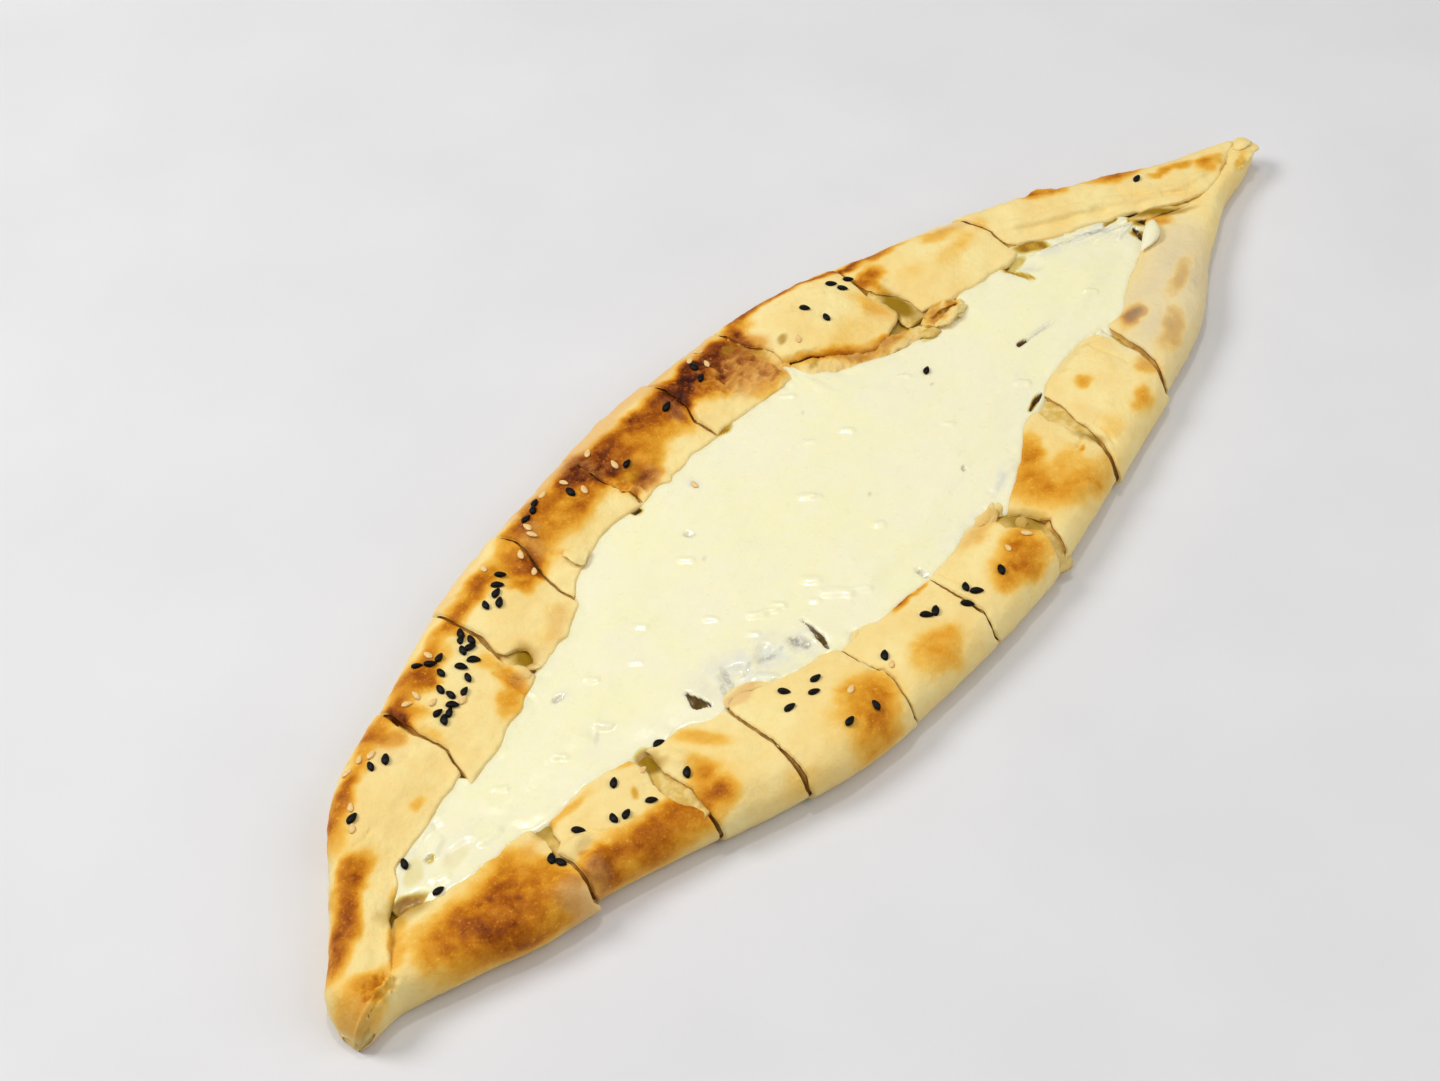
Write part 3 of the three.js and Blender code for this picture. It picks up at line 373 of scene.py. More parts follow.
# Loose dough by the lips, and the moist inner layer that shows in the wide cuts:
# slice, kind, thickness, points of x, y, z, half width
STRIPS = [
    (7, "crumpled", 1.5, [(29, 33.4, 10.2, 1.8), (34, 30.8, 10.3, 3.2), (39, 27, 10.4, 3.8),
        (44, 23.8, 10.4, 3.6), (50, 20.4, 10.5, 3.2), (56, 17.6, 10.5, 3.2), (62, 15.4, 10.6, 2.8),
        (66, 13.4, 10.6, 2.2), (68.4, 12, 10.2, 1)]),
    (8, "crumpled", 1.6, [(68.4, 14, 10.8, 1.2), (71.2, 12.8, 11.3, 3), (75, 11.8, 11.4, 3.6),
        (79.4, 10.8, 11.4, 3), (83.4, 10.6, 10.8, 1)]),
    (8, "crumpled", 1.2, [(69.6, 10.8, 11.6, 0.6), (72.6, 9.4, 12.4, 1.5), (76.6, 9.4, 12.7, 1.5),
        (80.4, 9, 12.3, 1.2), (82.6, 8.8, 11.6, 0.5)]),
    (8, "crumpled", 1.1, [(70.4, 14.4, 12, 0.6), (74, 14, 13, 1.4), (77.8, 12.8, 12.9, 1.3),
        (81, 11.4, 12, 0.5)]),
    (8, "moist", 1.6, [(64.6, 12.6, 10.8, 0.8), (66.6, 11, 11.3, 1.8), (68.6, 9.8, 11.2, 1.5),
        (70, 9, 10.8, 0.6)]),
    (2, "skin", 1.3, [(-97.2, 28.6, 10.8, 1), (-96.8, 26, 11.3, 1.9), (-95.6, 22.8, 11.5, 2.2),
        (-95, 20, 11, 1)]),
    (3, "skin", 1.0, [(-93.4, 22.8, 11.2, 0.5), (-92, 21.6, 11.5, 1), (-90.6, 20.6, 11.3, 0.6)]),
    (4, "skin", 1.0, [(-73.4, -25.2, 10.8, 0.5), (-71, -23.5, 11.2, 1.2), (-66.4, -24.6, 11.2, 1.3),
        (-62.8, -27.2, 11.1, 1), (-60.4, -29.4, 10.8, 0.5)]),
    (6, "crumpled", 1.2, [(12, -41.4, 10.6, 0.6), (15.4, -40.6, 11, 1.6), (19, -41.4, 11.3, 2),
        (21.6, -40.4, 11.2, 1.3), (23.6, -39.4, 10.8, 0.5)]),
    (6, "skin", 1.0, [(20.6, -43.6, 11, 0.5), (22.2, -42, 11.6, 1), (24, -41, 11.4, 0.9),
        (25.6, -40.6, 11, 0.4)]),
    (6, "skin", 1.6, [(20.4, -50.4, 10.6, 1), (22.2, -49.4, 11.2, 1.7), (23.8, -49.8, 11, 1)]),
    (4, "skin", 0.7, [(-58.6, 39.4, 13, 1), (-57.6, 37, 13, 2.4), (-56.6, 35, 12.6, 2.8),
        (-56, 33.6, 12.2, 2.2)]),
    (5, "skin", 1.0, [(-37.6, -37.4, 10.8, 0.5), (-35, -36.8, 11.2, 1), (-32, -37.8, 11, 0.5)]),
    (9, "skin", 1.9, [(179, -20, 7.6, 1.4), (184, -18.9, 8.1, 2.8), (188.4, -17.9, 8.2, 3.6),
        (192.6, -17.2, 7.8, 3.9), (195.6, -16.8, 7, 3.4)]),
    (9, "skin", 1.0, [(188.4, -16.6, 9, 0.8), (191, -16.4, 9.3, 2), (193.6, -16.2, 8.9, 2.4),
        (195.8, -16, 8, 1.8)]),
    (9, "moist", 1.2, [(142, -8, 9.4, 0.8), (148, -11, 9.4, 1.6), (155, -15, 9, 1.2),
        (161, -18.6, 8.6, 0.5)]),
    (9, "skin", 1.6, [(129, 20.2, 7.8, 0.9), (133, 19.8, 9.2, 2.6), (138.4, 16.8, 9.4, 3),
        (143.6, 12, 8, 0.9)]),
    (9, "skin", 1.3, [(148, 10.4, 7.4, 0.8), (152, 8.8, 8.4, 1.7), (156.6, 5.2, 8.2, 1.6),
        (160.6, 1.8, 7.2, 0.7)]),
    (2, "moist", 1.6, [(-128.6, -7.6, 8.5, 1.4), (-128.8, -12, 8.7, 3), (-130.8, -16.4, 9, 2.8),
        (-133, -21, 9.2, 1.6)]),
    (2, "moist", 1.6, [(-97.6, -14.6, 8.5, 2), (-98.2, -19, 8.7, 3.4), (-100.6, -26, 9.2, 4),
        (-101.4, -33, 9.8, 3.4), (-101.6, -41, 10.2, 2)]),
    (3, "moist", 1.6, [(-92.4, 31, 9.6, 2), (-92.4, 27.6, 9.6, 4), (-92, 24.6, 9.3, 4),
        (-91.4, 21.6, 8.9, 2.4)]),
    (6, "crumpled", 1.8, [(30, 54, 10.6, 2), (31.4, 48, 10.7, 3.4), (32, 42, 10.6, 4),
        (31.6, 36.6, 10.2, 3.4), (31, 32.6, 9.6, 2)]),
    (7, "moist", 1.8, [(70, 34, 10, 2.4), (71.4, 29, 10, 3.8), (71.6, 22, 9.8, 4.2), (70.6, 16.6, 9.4, 4)]),
    (6, "moist", 1.8, [(22.6, -41.8, 9.6, 2.4), (21, -46, 10, 3.6), (21.8, -52, 10.3, 4),
        (22.6, -57, 9.6, 3.8), (21, -61.6, 7, 3.4), (20, -64, 3.6, 3)]),
    (7, "moist", 1.8, [(62, -27.8, 9, 2.6), (62, -33, 9.6, 4), (60.8, -39.6, 10, 3.4), (59.6, -46, 9.8, 2.6),
        (57.4, -52, 8.8, 2)]),
]
MOISTURE = {"skin": 0.0, "crumpled": 0.2, "moist": 0.72}
# Where the labneh ends against the ledge of the seventh slice
LEDGE = [
    (29, 32.6), (34, 28), (39, 23), (44, 19.8), (50, 17), (56, 13.8), (62, 12), (68, 10.2), (74, 9.4),
    (80, 9.4), (84, 12.6),
]

# Black and white seeds: x, y, turn in degrees
DARK_SEEDS = [
    (-155, 25.6, 5), (-156.6, 7.8, 58), (-157.6, -3.9, -12), (-140.9, 32.5, 62), (-137, 31, 42),
    (-110, 44.7, -52), (-107.7, 42.3, -48), (-104.8, 41.9, 14), (-108.1, 38.3, 76), (-112.3, 35, 70),
    (-112.2, 31.6, 84), (-118.4, 30.3, 2), (-118.9, 27.6, 44), (-116.4, 28.2, 32), (-114.3, 29.2, -55),
    (-109.2, 29.5, 20), (-105.1, 32.1, 62), (-103.8, 35.5, -62), (-100, 34.6, -52), (-99.3, 38.8, 62),
    (-97.4, 38, -18), (-95.1, 39.5, 70), (-96.8, 41.4, 28), (-95.1, 43, 55), (-125, -19.7, -58),
    (-108.7, -17.5, 36), (-92, -18.2, -18), (-117.5, -24.7, 66), (-114.8, -26.3, 16), (-107.6, -28.2, -42),
    (-95.8, -30.1, 40), (-135.3, -20, 40), (-135, -22.6, 92), (-84.9, 43.3, 64), (-80.4, 43.7, 14),
    (-78, 45.4, -48), (-74.4, 47.6, -44), (-82.2, 41, 34), (-56, 54.1, 4), (-52.2, 55, 36),
    (-49.8, 56.4, 24), (-41.6, 51, 78), (-23.6, 46.3, 12), (-0.9, 50.6, 12), (14.7, 53.4, 84),
    (12.1, 48.8, 22), (51.5, 42.6, -64), (52.7, 35.8, 68), (65.3, 43.4, -52), (65.8, 39.8, -66),
    (70.2, 41, -34), (157.8, -0.8, 10), (-61.6, -33.8, -68), (-65.6, -38.6, -14), (-58, -40.4, -32),
    (-54.1, -38, -14), (-60.8, -53.2, 4), (-52.7, -55.2, 72), (-37.6, -47.6, 42), (-21, -48.6, -58),
    (-18.2, -49.5, 36), (-11.4, -54.6, -60), (-7.3, -51.5, 48), (-7, -54.5, -50), (2.8, -55.4, 52),
    (53.4, 2.4, 24),
]
PALE_SEEDS = [
    (-152.6, 28.2, 42), (-157.2, 23.8, 40), (-138, 34.8, 4), (-140.6, 36.6, 30), (-145.4, 36.2, -20),
    (-120.8, 38.5, -34), (-117.5, 38.5, 78), (-116.4, 33.8, 8), (-111.4, 28.4, 14), (-105.7, 44.8, 82),
    (-126.8, 36.4, 78), (-75.4, 52.2, 58), (-66, 47.6, 52), (-67.9, 41.8, 40), (-60, 48.8, -70),
    (-58.6, 51.6, 80), (-40, 54.6, -80), (-38.6, 48.8, 60), (-46, 57, 10), (-25.8, 48.9, 72),
    (-27.2, 57, 30), (18.6, 52, 60), (16.6, 56, 20), (21.4, 57, -30), (41.6, 37.6, 50), (10.2, -52.6, 62),
    (17.6, -53.6, -64), (-18.6, 27.4, 68), (-39, -50.4, 30), (-52.4, -47.4, 20), (-101, -20.4, 10),
]
# Each kind of seed: length, width, height, height of its ridges as a share
SEED_SIZES = {"dark": (3.6, 2.25, 1.6, 0.16), "pale": (3.15, 1.95, 0.9, 0.0)}
SEED_ROWS, SEED_COLUMNS = 11, 14
SEED_LIFT = 0.8          # how much a seed on a slope still points upwards

# Pits and slits of the labneh: half width at either end, depth, points
HOLES = [
    (0.3, 1.9, 2, [(-76, -14.1), (-76.6, -18.2)]), (1.9, 0.3, 2, [(-76.6, -18.2), (-74.9, -21.4)]),
    (0.2, 0.9, 2, [(-39.6, -23.4), (-40.2, -26.7), (-41.4, -30.4)]),
    (0.9, 0.3, 2, [(-41.4, -30.4), (-42.9, -34)]), (0.4, 0.9, 2, [(65.9, -27.2), (62.3, -27.6)]),
    (0.9, 0.4, 2, [(62.3, -27.6), (58.4, -28.2)]),
    (0.9, 0.3, 0.8, [(103.2, 9.6), (102.8, 4.4), (102.2, -0.8)]),
    (0.9, 0.6, 2.6, [(77.6, -12), (80, -12.7)]), (1.2, 0.9, 2.3, [(-35, 34.4), (-34, 34)]),
    (0.9, 0.6, 0.8, [(-96.6, 10.6), (-95, 10.2)]), (0.7, 0.4, 0.9, [(-34, 18), (-33.4, 16.8)]),
    (0.7, 0.5, 1.0, [(-152.2, 4.4), (-151.4, 3.8)]), (0.5, 0.5, 1.2, [(-8.5, -37.4), (-8.4, -40)]),
    (0.9, 0.6, 2.6, [(139.6, -11.6), (137.2, -15.8)]), (1.2, 1.0, 3, [(144.6, -8), (144.3, -11.6)]),
    (0.6, 0.5, 1.4, [(136.4, -3.6), (140.4, -4.6)]), (0.5, 0.2, 0.5, [(80, -12.6), (85, -13.4), (90, -14)]),
    (0.4, 0.4, 1.0, [(28.4, -26.8), (28, -26.9)]),
]
# A deep hole's dark inside is oil-brown, with painted shade darkest at its rim
DEEP_HOLE = 1.6          # depth from which a hole shows its dark inside
HOLE_SPAN = 3.0          # over which the mark of a hole falls from 1 to 0
# Soft mounds, ridges and hollows of the labneh: half width, height, points
MOUNDS = [
    (1.2, -0.5, [(-66, -18), (-62, -20)]), (1.4, -0.5, [(-56, -23), (-53, -21.4)]),
    (1.3, -0.6, [(-47, -27), (-45, -28.6)]), (1.2, -0.3, [(-100, -4), (-96, -6)]),
    (2.6, 0.35, [(-130, 2), (-110, 1), (-88, 2)]), (3.4, 0.3, [(-20, 14), (10, 8), (40, 4)]),
    (2.8, -0.5, [(-72, -20), (-60, -24), (-44, -31)]), (4, 0.3, [(60, -8), (84, -6), (112, -10)]),
    (2.8, 0.3, [(-20, -28), (4, -30), (30, -24)]), (2, 0.2, [(100, -16), (112, -14), (124, -12)]),
    (2.2, -0.9, [(104, 8), (107, 5.4), (108, 3)]), (1.6, -0.5, [(110, 8), (118, 4.6)]),
    (1.2, 0.4, [(28, -36.6), (33, -35.6), (38, -35.6)]),
    (0.5, 0.6, [(113.3, 5), (121.9, 2.2), (129.1, -1.6)]),
    (0.5, 0.6, [(123.8, 5), (132.3, 1.2), (140, -3.6)]), (0.4, 0.5, [(122, -1), (131, -4), (142, -7.6)]),
    (0.4, 0.5, [(128, -5.4), (135, -7.4), (142, -9)]), (0.4, -0.6, [(118, 3.4), (127, 0.6), (136, -4)]),
    (0.4, -0.5, [(130, -3), (137, -6), (143, -8.4)]), (0.5, 0.5, [(133, -10), (138, -9.6), (143, -9.6)]),
    (2.4, -1.3, [(-167, -1), (-162.6, -2)]), (1.2, 0.5, [(-155.6, -1.4), (-153.6, -2.6)]),
    (1.3, 0.7, [(-150, 4.6), (-147, 5.6)]), (1.6, -0.5, [(-148, 0), (-143, -0.6)]),
    (1.2, -0.6, [(-152, 7), (-144, 9)]), (1.0, 0.5, [(-141, -3), (-136, -3.6)]),
]
# Small raised smears that catch the light: x, y, length, half width, height
SMEARS = [
    (-5, 0.8, 3.6, 1.05, 0.5), (-3.4, -1.4, 2.4, 0.68, 0.5), (-27.9, -17.5, 2.8, 1.27, 0.6),
    (-27.2, -25.2, 7, 1.2, 0.55), (-45.6, -13.1, 3.6, 1, 0.6), (-42, -15.4, 2.8, 0.68, 0.5),
    (-41.3, 12.7, 3.2, 0.68, 0.5), (-39.4, -15.8, 2.8, 0.75, 0.6), (-53.4, -4.7, 2.4, 0.75, 0.55),
    (-1.5, -20.3, 2.4, 0.75, 0.55), (23, 27.7, 3.6, 0.68, 0.55), (-59.9, -26.9, 4.6, 0.9, 0.55),
    (-86.6, 7.3, 2.2, 0.75, 0.55), (21.1, 6.5, 2.8, 0.68, 0.5), (65.6, -21, 2.6, 0.9, 0.5),
    (-96, -4, 3.2, 0.75, 0.5), (-110, -2, 2.6, 0.68, 0.45), (108, -16, 2.6, 0.68, 0.5),
    (12, 12, 2.6, 0.6, 0.4), (40, -14, 2.4, 0.6, 0.4), (-66, 8, 2.8, 0.68, 0.45), (48, 6, 2.2, 0.6, 0.4),
    (-22, -30, 3.2, 0.6, 0.45), (-33, -22, 2.6, 0.6, 0.45), (-51, -16, 2.4, 0.6, 0.45),
    (-76, 2, 2.4, 0.6, 0.4), (-126, 4, 2.8, 0.68, 0.45),
]
SMEAR_TURN = -51.8       # along the picture's own level
# Blob of labneh over the last near flap: first and last x and z, then y along its length
DROP_X = (130.6, 144.2)
DROP_Z = (11.4, 12)
DROP_GIRTH = 2.3
DROP_Y = [(0, -18.7), (0.3, -18.3), (0.6, -17.3), (1, -14.6)]
# Grey translucent spots of the labneh, and dark streaks
GREY = [
    (-58, -22.4, 16, 6.5, -24, 0.9), (-46, -27.4, 4, 3, -50, 0.9), (-26, 2, 5, 3, -50, 0.16),
    (-138, 0, 14, 5, 0, 0.2), (-158, 2, 5, 4, 10, 0.15), (-70, 10, 8, 5, 0, 0.14), (-34, -6, 4, 5, 0, 0.14),
    (-154, 7, 6, 2.4, 15, 0.2), (-95, 10, 3, 2, 0, 0.4), (-100, -5, 6, 5, 0, 0.16),
    (-18.6, 27.6, 1.3, 2.4, 0, 0.9), (-34, 17.6, 1.6, 1.2, 0, 0.5), (-152, 4.2, 1.2, 1, 0, 0.9),
    (32, -36.4, 6, 1.8, 8, 0.9), (128, -1.6, 14, 3, -24, 0.75), (138, -8, 6, 5, 0, 0.7),
    (118, 3, 6, 2.6, -20, 0.5), (-8.5, -38.6, 1, 2.4, 0, 0.8), (84, -13.4, 7, 0.9, -12, 0.6),
    (112, -17, 4, 2, 20, 0.2), (10, -38, 20, 1.6, 0, 0.2), (105, 4.6, 5, 3, -20, 0.7),
    (-66, -18, 3, 1.6, 10, 0.6), (-54, -23, 3, 1.6, 10, 0.6),
]
STREAKS = [
    (-65.9, -19.4, 0.9, 3.4, -30, 0.7), (-69.1, -20.4, 0.7, 3, -40, 0.5), (-54.5, -23.6, 2.6, 0.8, -30, 0.7),
    (-46, -26.4, 2.6, 1.1, -50, 1), (-45.4, -28.8, 1.3, 1, 0, 0.9), (-60.6, -21.6, 2.4, 0.6, 10, 0.5),
    (-50.4, -24.4, 2, 0.5, -30, 0.5), (-152, 3.9, 1.2, 0.8, 10, 1), (-34, 17.4, 1.6, 0.8, -50, 0.6),
    (-96, 10.4, 2, 1.1, -10, 0.5), (-8.5, -38.6, 0.7, 2.2, 0, 0.7), (84, -13.5, 6, 0.5, -10, 0.6),
    (28.4, -26.8, 0.8, 0.7, 0, 0.9), (66, 10, 2, 1, -20, 0.5), (130.3, -2.4, 5, 0.7, -27, 0.8),
    (121, 1.8, 4, 0.5, -26, 0.5), (137, -7.4, 6, 0.5, -30, 0.5), (-100, -5, 2.6, 0.5, 30, 0.3),
    (-38, 9, 1, 0.4, 20, 0.4), (6, -12, 0.7, 0.5, 0, 0.5), (50, -2, 0.6, 0.5, 0, 0.5),
    (20, 20, 0.7, 0.4, 10, 0.4),
]
# Oil and dark juice that show in the open, with painted shade in pockets and beside the lips
OIL_AND_SHADE = [
    (106, 8, 4.4, 1.6, -5, 0.6), (102.9, 4.4, 0.9, 5.4, 3, 1), (115, 7.8, 5.4, 2.4, -40, 1),
    (2.6, 33.4, 3, 1.6, 0, 1), (-164.4, -1.1, 5, 2.2, -20, 1), (-96.6, -17.4, 2.4, 2.4, 0, 0.95),
    (-35, 34.4, 1.8, 1.6, 0, 1), (61.6, -27.4, 3.6, 0.8, 8, 0.9), (79, -12.3, 1.4, 0.8, -20, 0.6),
    (144, -10, 3, 2.8, 20, 1), (138.4, -13.8, 1.4, 3, 20, 1), (138.4, -4, 3, 1, -15, 0.6),
    (-151.6, 3.9, 1.2, 0.9, 0, 0.5), (-148, -0.4, 4, 2, -10, 0.16), (-157, 4.6, 5, 2.2, 30, 0.24),
    (66, 9.6, 3, 1.4, -20, 0.4),
]
# Clean cream that stands in a gap, not oil
CREAM = [(95.6, -29, 1.6, 6, 0, 1)]

# Colours as red, green and blue from 0 to 255, at shares of browning, and of oil with painted shade
CRUST = [(0.0, (246, 214, 130)), (0.18, (240, 190, 84)), (0.34, (226, 158, 40)), (0.5, (196, 118, 8)),
         (0.66, (158, 80, 0)), (0.82, (104, 42, 0)), (1.0, (58, 16, 2))]
FLESH = [(0.0, (232, 184, 118)), (0.3, (206, 146, 80)), (0.55, (150, 88, 40)), (0.8, (88, 28, 4)),
         (1.0, (56, 10, 2))]
GREASE_AND_SHADE = [(0.0, (242, 232, 180)), (0.4, (224, 206, 118)), (0.8, (190, 146, 22)), (1.0, (160, 110, 4))]

# Random values that all the noise is read from
LATTICE_SIDE = 64
LATTICE = np.random.default_rng(20).uniform(-1, 1, (LATTICE_SIDE, LATTICE_SIDE, LATTICE_SIDE))
NOISE_SHIFT = np.array([7.31, 3.17, 5.83])


def camera_axes():
    """Right, down and forward of the photograph's camera."""
    heading, pitch, roll = (math.radians(v) for v in (CAMERA_HEADING, CAMERA_PITCH, CAMERA_ROLL))
    ahead = np.array([math.cos(heading), math.sin(heading), 0.0])
    right = np.array([math.sin(heading), -math.cos(heading), 0.0])
    forward = ahead * math.cos(pitch) + np.array([0.0, 0.0, -math.sin(pitch)])
    down = np.cross(forward, right)
    turned_right = math.cos(roll) * right + math.sin(roll) * down
    turned_down = -math.sin(roll) * right + math.cos(roll) * down
    return turned_right, turned_down, forward


def ease(v):
    t = np.clip(v, 0, 1)
    return t * t * (3 - 2 * t)


def mix(a, b, t):
    return a + (b - a) * t


def noise(p, size, seed):
    """Smooth noise from -1 to 1 at points p (..., 3), with cells of the given size."""
    q = np.asarray(p, float) / size + seed * NOISE_SHIFT
    cell = np.floor(q).astype(int)
    f = q - cell
    high = f * f * (3 - 2 * f)
    shares = (1 - high, high)
    ends = (cell % LATTICE_SIDE, (cell + 1) % LATTICE_SIDE)
    total = 0
    for a, b, c in np.ndindex(2, 2, 2):
        corner = LATTICE[ends[a][..., 0], ends[b][..., 1], ends[c][..., 2]]
        total = total + corner * (shares[a][..., 0] * shares[b][..., 1]) * shares[c][..., 2]
    return total


def fractal(p, size, seed, octaves=3, gain=0.5):
    return sum(gain ** k * noise(p, size / 2 ** k, seed + 17 * k) for k in range(octaves))


def line_noise(t, size, seed):
    t = np.asarray(t, float)
    return noise(np.stack([t, t * 0, t * 0], -1), size, seed)


def rags(t, layers, seed):
    """Uneven offset along a line."""
    return sum(height * line_noise(t, size, seed + step) for height, size, step in layers)


def swelling(p, layers):
    return sum(height * fractal(p, size, seed, 2) for height, size, seed in layers)


def warp(p, height, size, seed):
    """Two fields of noise that bend the outlines of a pattern."""
    return height * noise(p, size, seed), height * noise(p, size, seed + 1)


def curve(points):
    """Smooth curve through points of rising first value."""
    x, y = np.array(sorted(points), float).T
    slope = np.empty_like(y)
    slope[1:-1] = (y[2:] - y[:-2]) / (x[2:] - x[:-2])
    slope[0] = (y[1] - y[0]) / (x[1] - x[0])
    slope[-1] = (y[-1] - y[-2]) / (x[-1] - x[-2])

    def value(t):
        t = np.clip(t, x[0], x[-1])
        i = np.clip(np.searchsorted(x, t, side="right") - 1, 0, len(x) - 2)
        h = x[i + 1] - x[i]
        s = (t - x[i]) / h
        bend = (s ** 3 - 2 * s * s + s) * slope[i] + (s ** 3 - s * s) * slope[i + 1]
        return (2 * s ** 3 - 3 * s * s + 1) * y[i] + (3 * s * s - 2 * s ** 3) * y[i + 1] + bend * h
    return value


def line(points):
    x, y = np.array(sorted(points), float).T
    return lambda t: np.interp(t, x, y)


def close_to(x, spot, reach=2.2, margin=0):
    """Where x is near enough to a spot for it to count."""
    return np.abs(x - spot[0]) < reach * max(spot[2], spot[3]) + margin


def blob(x, y, spot, soft=0.45):
    """Share of a spot, 1 inside and 0 well outside."""
    middle_x, middle_y, half_length, half_width, turn = spot[:5]
    turn = math.radians(turn)
    dx, dy = x - middle_x, y - middle_y
    u = (dx * math.cos(turn) + dy * math.sin(turn)) / half_length
    v = (dy * math.cos(turn) - dx * math.sin(turn)) / half_width
    return 1 - ease((np.sqrt(u * u + v * v) - 1 + soft) / (2 * soft))


def stain(x, y, spots, soft=0.45):
    """All the spots of a list laid over one another."""
    left = np.ones_like(x)
    for spot in spots:
        near = close_to(x, spot, 1.6, 2)
        if near.any():
            left[near] *= 1 - spot[5] * blob(x[near], y[near], spot, soft)
    return 1 - left


def path_distance(x, y, points, halves):
    """Distance to a path of straight stretches, and its half width there."""
    stretches = len(points) - 1
    best, width = np.full(x.shape, 1e9), np.ones(x.shape)
    for k in range(stretches):
        (ax, ay), (bx, by) = points[k], points[k + 1]
        length = (bx - ax) ** 2 + (by - ay) ** 2
        t = np.clip(((x - ax) * (bx - ax) + (y - ay) * (by - ay)) / length, 0, 1)
        away = np.hypot(x - ax - t * (bx - ax), y - ay - t * (by - ay))
        half = mix(halves[0], halves[1], (k + t) / stretches)
        closer = away / half < best / width
        best, width = np.where(closer, away, best), np.where(closer, half, width)
    return best, width


def path_share(x, y, points, half, soft=1.0):
    """1 on a path of straight stretches, a half at its half width and 0 farther out."""
    away, width = path_distance(x, y, points, (half, half))
    return 1 - ease((away / width - 1 + 0.5 * soft) / soft)


far_edge, near_edge = curve(FAR_EDGE), curve(NEAR_EDGE)
far_lip, near_lip = curve(FAR_LIP), curve(NEAR_LIP)
rim_height, cavity_share, closed_share = curve(RIM_HEIGHT), line(CAVITY), line(CLOSED)


def slope_at(x):
    """Slope of the cuts, which runs out at the tips."""
    xs = [-HALF_LENGTH] + [cut[0] for cut in CUTS] + [HALF_LENGTH]
    return np.interp(x, xs, [0] + [cut[1] for cut in CUTS] + [0])


def meet(f, x, slope):
    """The y where the sloping line from station x meets the curve f."""
    y = f(x)
    for _ in range(4):
        y = f(x + slope * y)
    return y


def slice_span(index):
    start = CUTS[index - 1][0] + CUTS[index - 1][2] / 2 if index > 0 else NEAR_TIP
    stop = CUTS[index][0] - CUTS[index][2] / 2 if index < len(CUTS) else FAR_TIP
    return start, stop


def cut_offsets(index, y, is_far, after):
    """How far a slice's real edge, before or after a cut, lies from the straight cut."""
    x, slope, kerf = CUTS[index]
    way = 1 if after else -1
    straight = x + slope * y + way * kerf / 2
    column = 2 if after else 1
    far_x = line([(row[0], row[column]) for row in FAR_CUTS[index]])(y)
    near_x = line([(row[0], row[column]) for row in NEAR_CUTS[index]])(y)
    torn = rags(y, TORN_CUT, index)
    own = 0.16 * line_noise(y, 1.3, 100 + index + (20 if after else 0)) * way
    return np.where(is_far, far_x, near_x) - straight + torn + np.maximum(own, -0.04) * way


def cut_shift(index, x, y, is_far):
    """How far the real edges at both ends of a slice move its point at station x along the loaf."""
    start, stop = slice_span(index)
    first = cut_offsets(index - 1, y, is_far, True) if index > 0 else 0
    last = cut_offsets(index, y, is_far, False) if index < len(CUTS) else 0
    return mix(first, last, np.clip((x - start) / (stop - start), 0, 1))


def slice_lip(index, x, slope, is_far, shifted):
    """A slice's own lip at stations x, or where the real cuts have shifted them to."""
    f = curve((FAR_LIPS if is_far else NEAR_LIPS)[index])
    y = meet(f, x, slope)
    for _ in range(4 if shifted else 0):
        y = (y + f(x + slope * y + cut_shift(index, x, y, is_far))) / 2
    return y


class Station:
    """Sizes of the loaf at an array of stations x: of one slice, or without an index of the whole."""

    def __init__(self, x, index=None, shifted=False):
        self.x = x
        self.slope = slope_at(x)
        far, near, lip_far, lip_near = (
            meet(f, x, self.slope) for f in (far_edge, near_edge, far_lip, near_lip))
        self.seam = (lip_far + lip_near) / 2
        if index is not None:
            lip_far, lip_near = (slice_lip(index, x, self.slope, is_far, shifted) for is_far in (True, False))
        end = np.minimum(x - NEAR_TIP, FAR_TIP - x)
        wide = np.sqrt(1 - (1 - np.clip(end / TIP_WIDE, 0, 1)) ** 2)
        tall = np.sqrt(1 - (1 - np.clip(end / TIP_ROUND, 0, 1)) ** 2)
        width = mix(0.6, 1, wide)
        self.rim = rim_height(x) * mix(0.22, 1, tall)
        self.share = cavity_share(x)
        self.closed = closed_share(x)
        self.far, self.near, self.lip_far, self.lip_near = (
            self.seam + (y - self.seam) * width for y in (far, near, lip_far, lip_near))

    def side(self, far):
        """Which way a side lies from the seam, and its edge."""
        return (1, self.far) if far else (-1, self.near)

    def lip_top(self, far):
        """Height of a flap's top at its lip: in a closed mouth the far flap lies on the near one."""
        return self.rim - LIP_DROP + 0.35 + (1.2 if far else -0.8) * self.closed


def lip_line(st, index, far):
    """Ragged edge of a flap."""
    return (st.lip_far if far else st.lip_near) + rags(st.x, LIP_RAGS, 300 + 20 * index + (0 if far else 5))


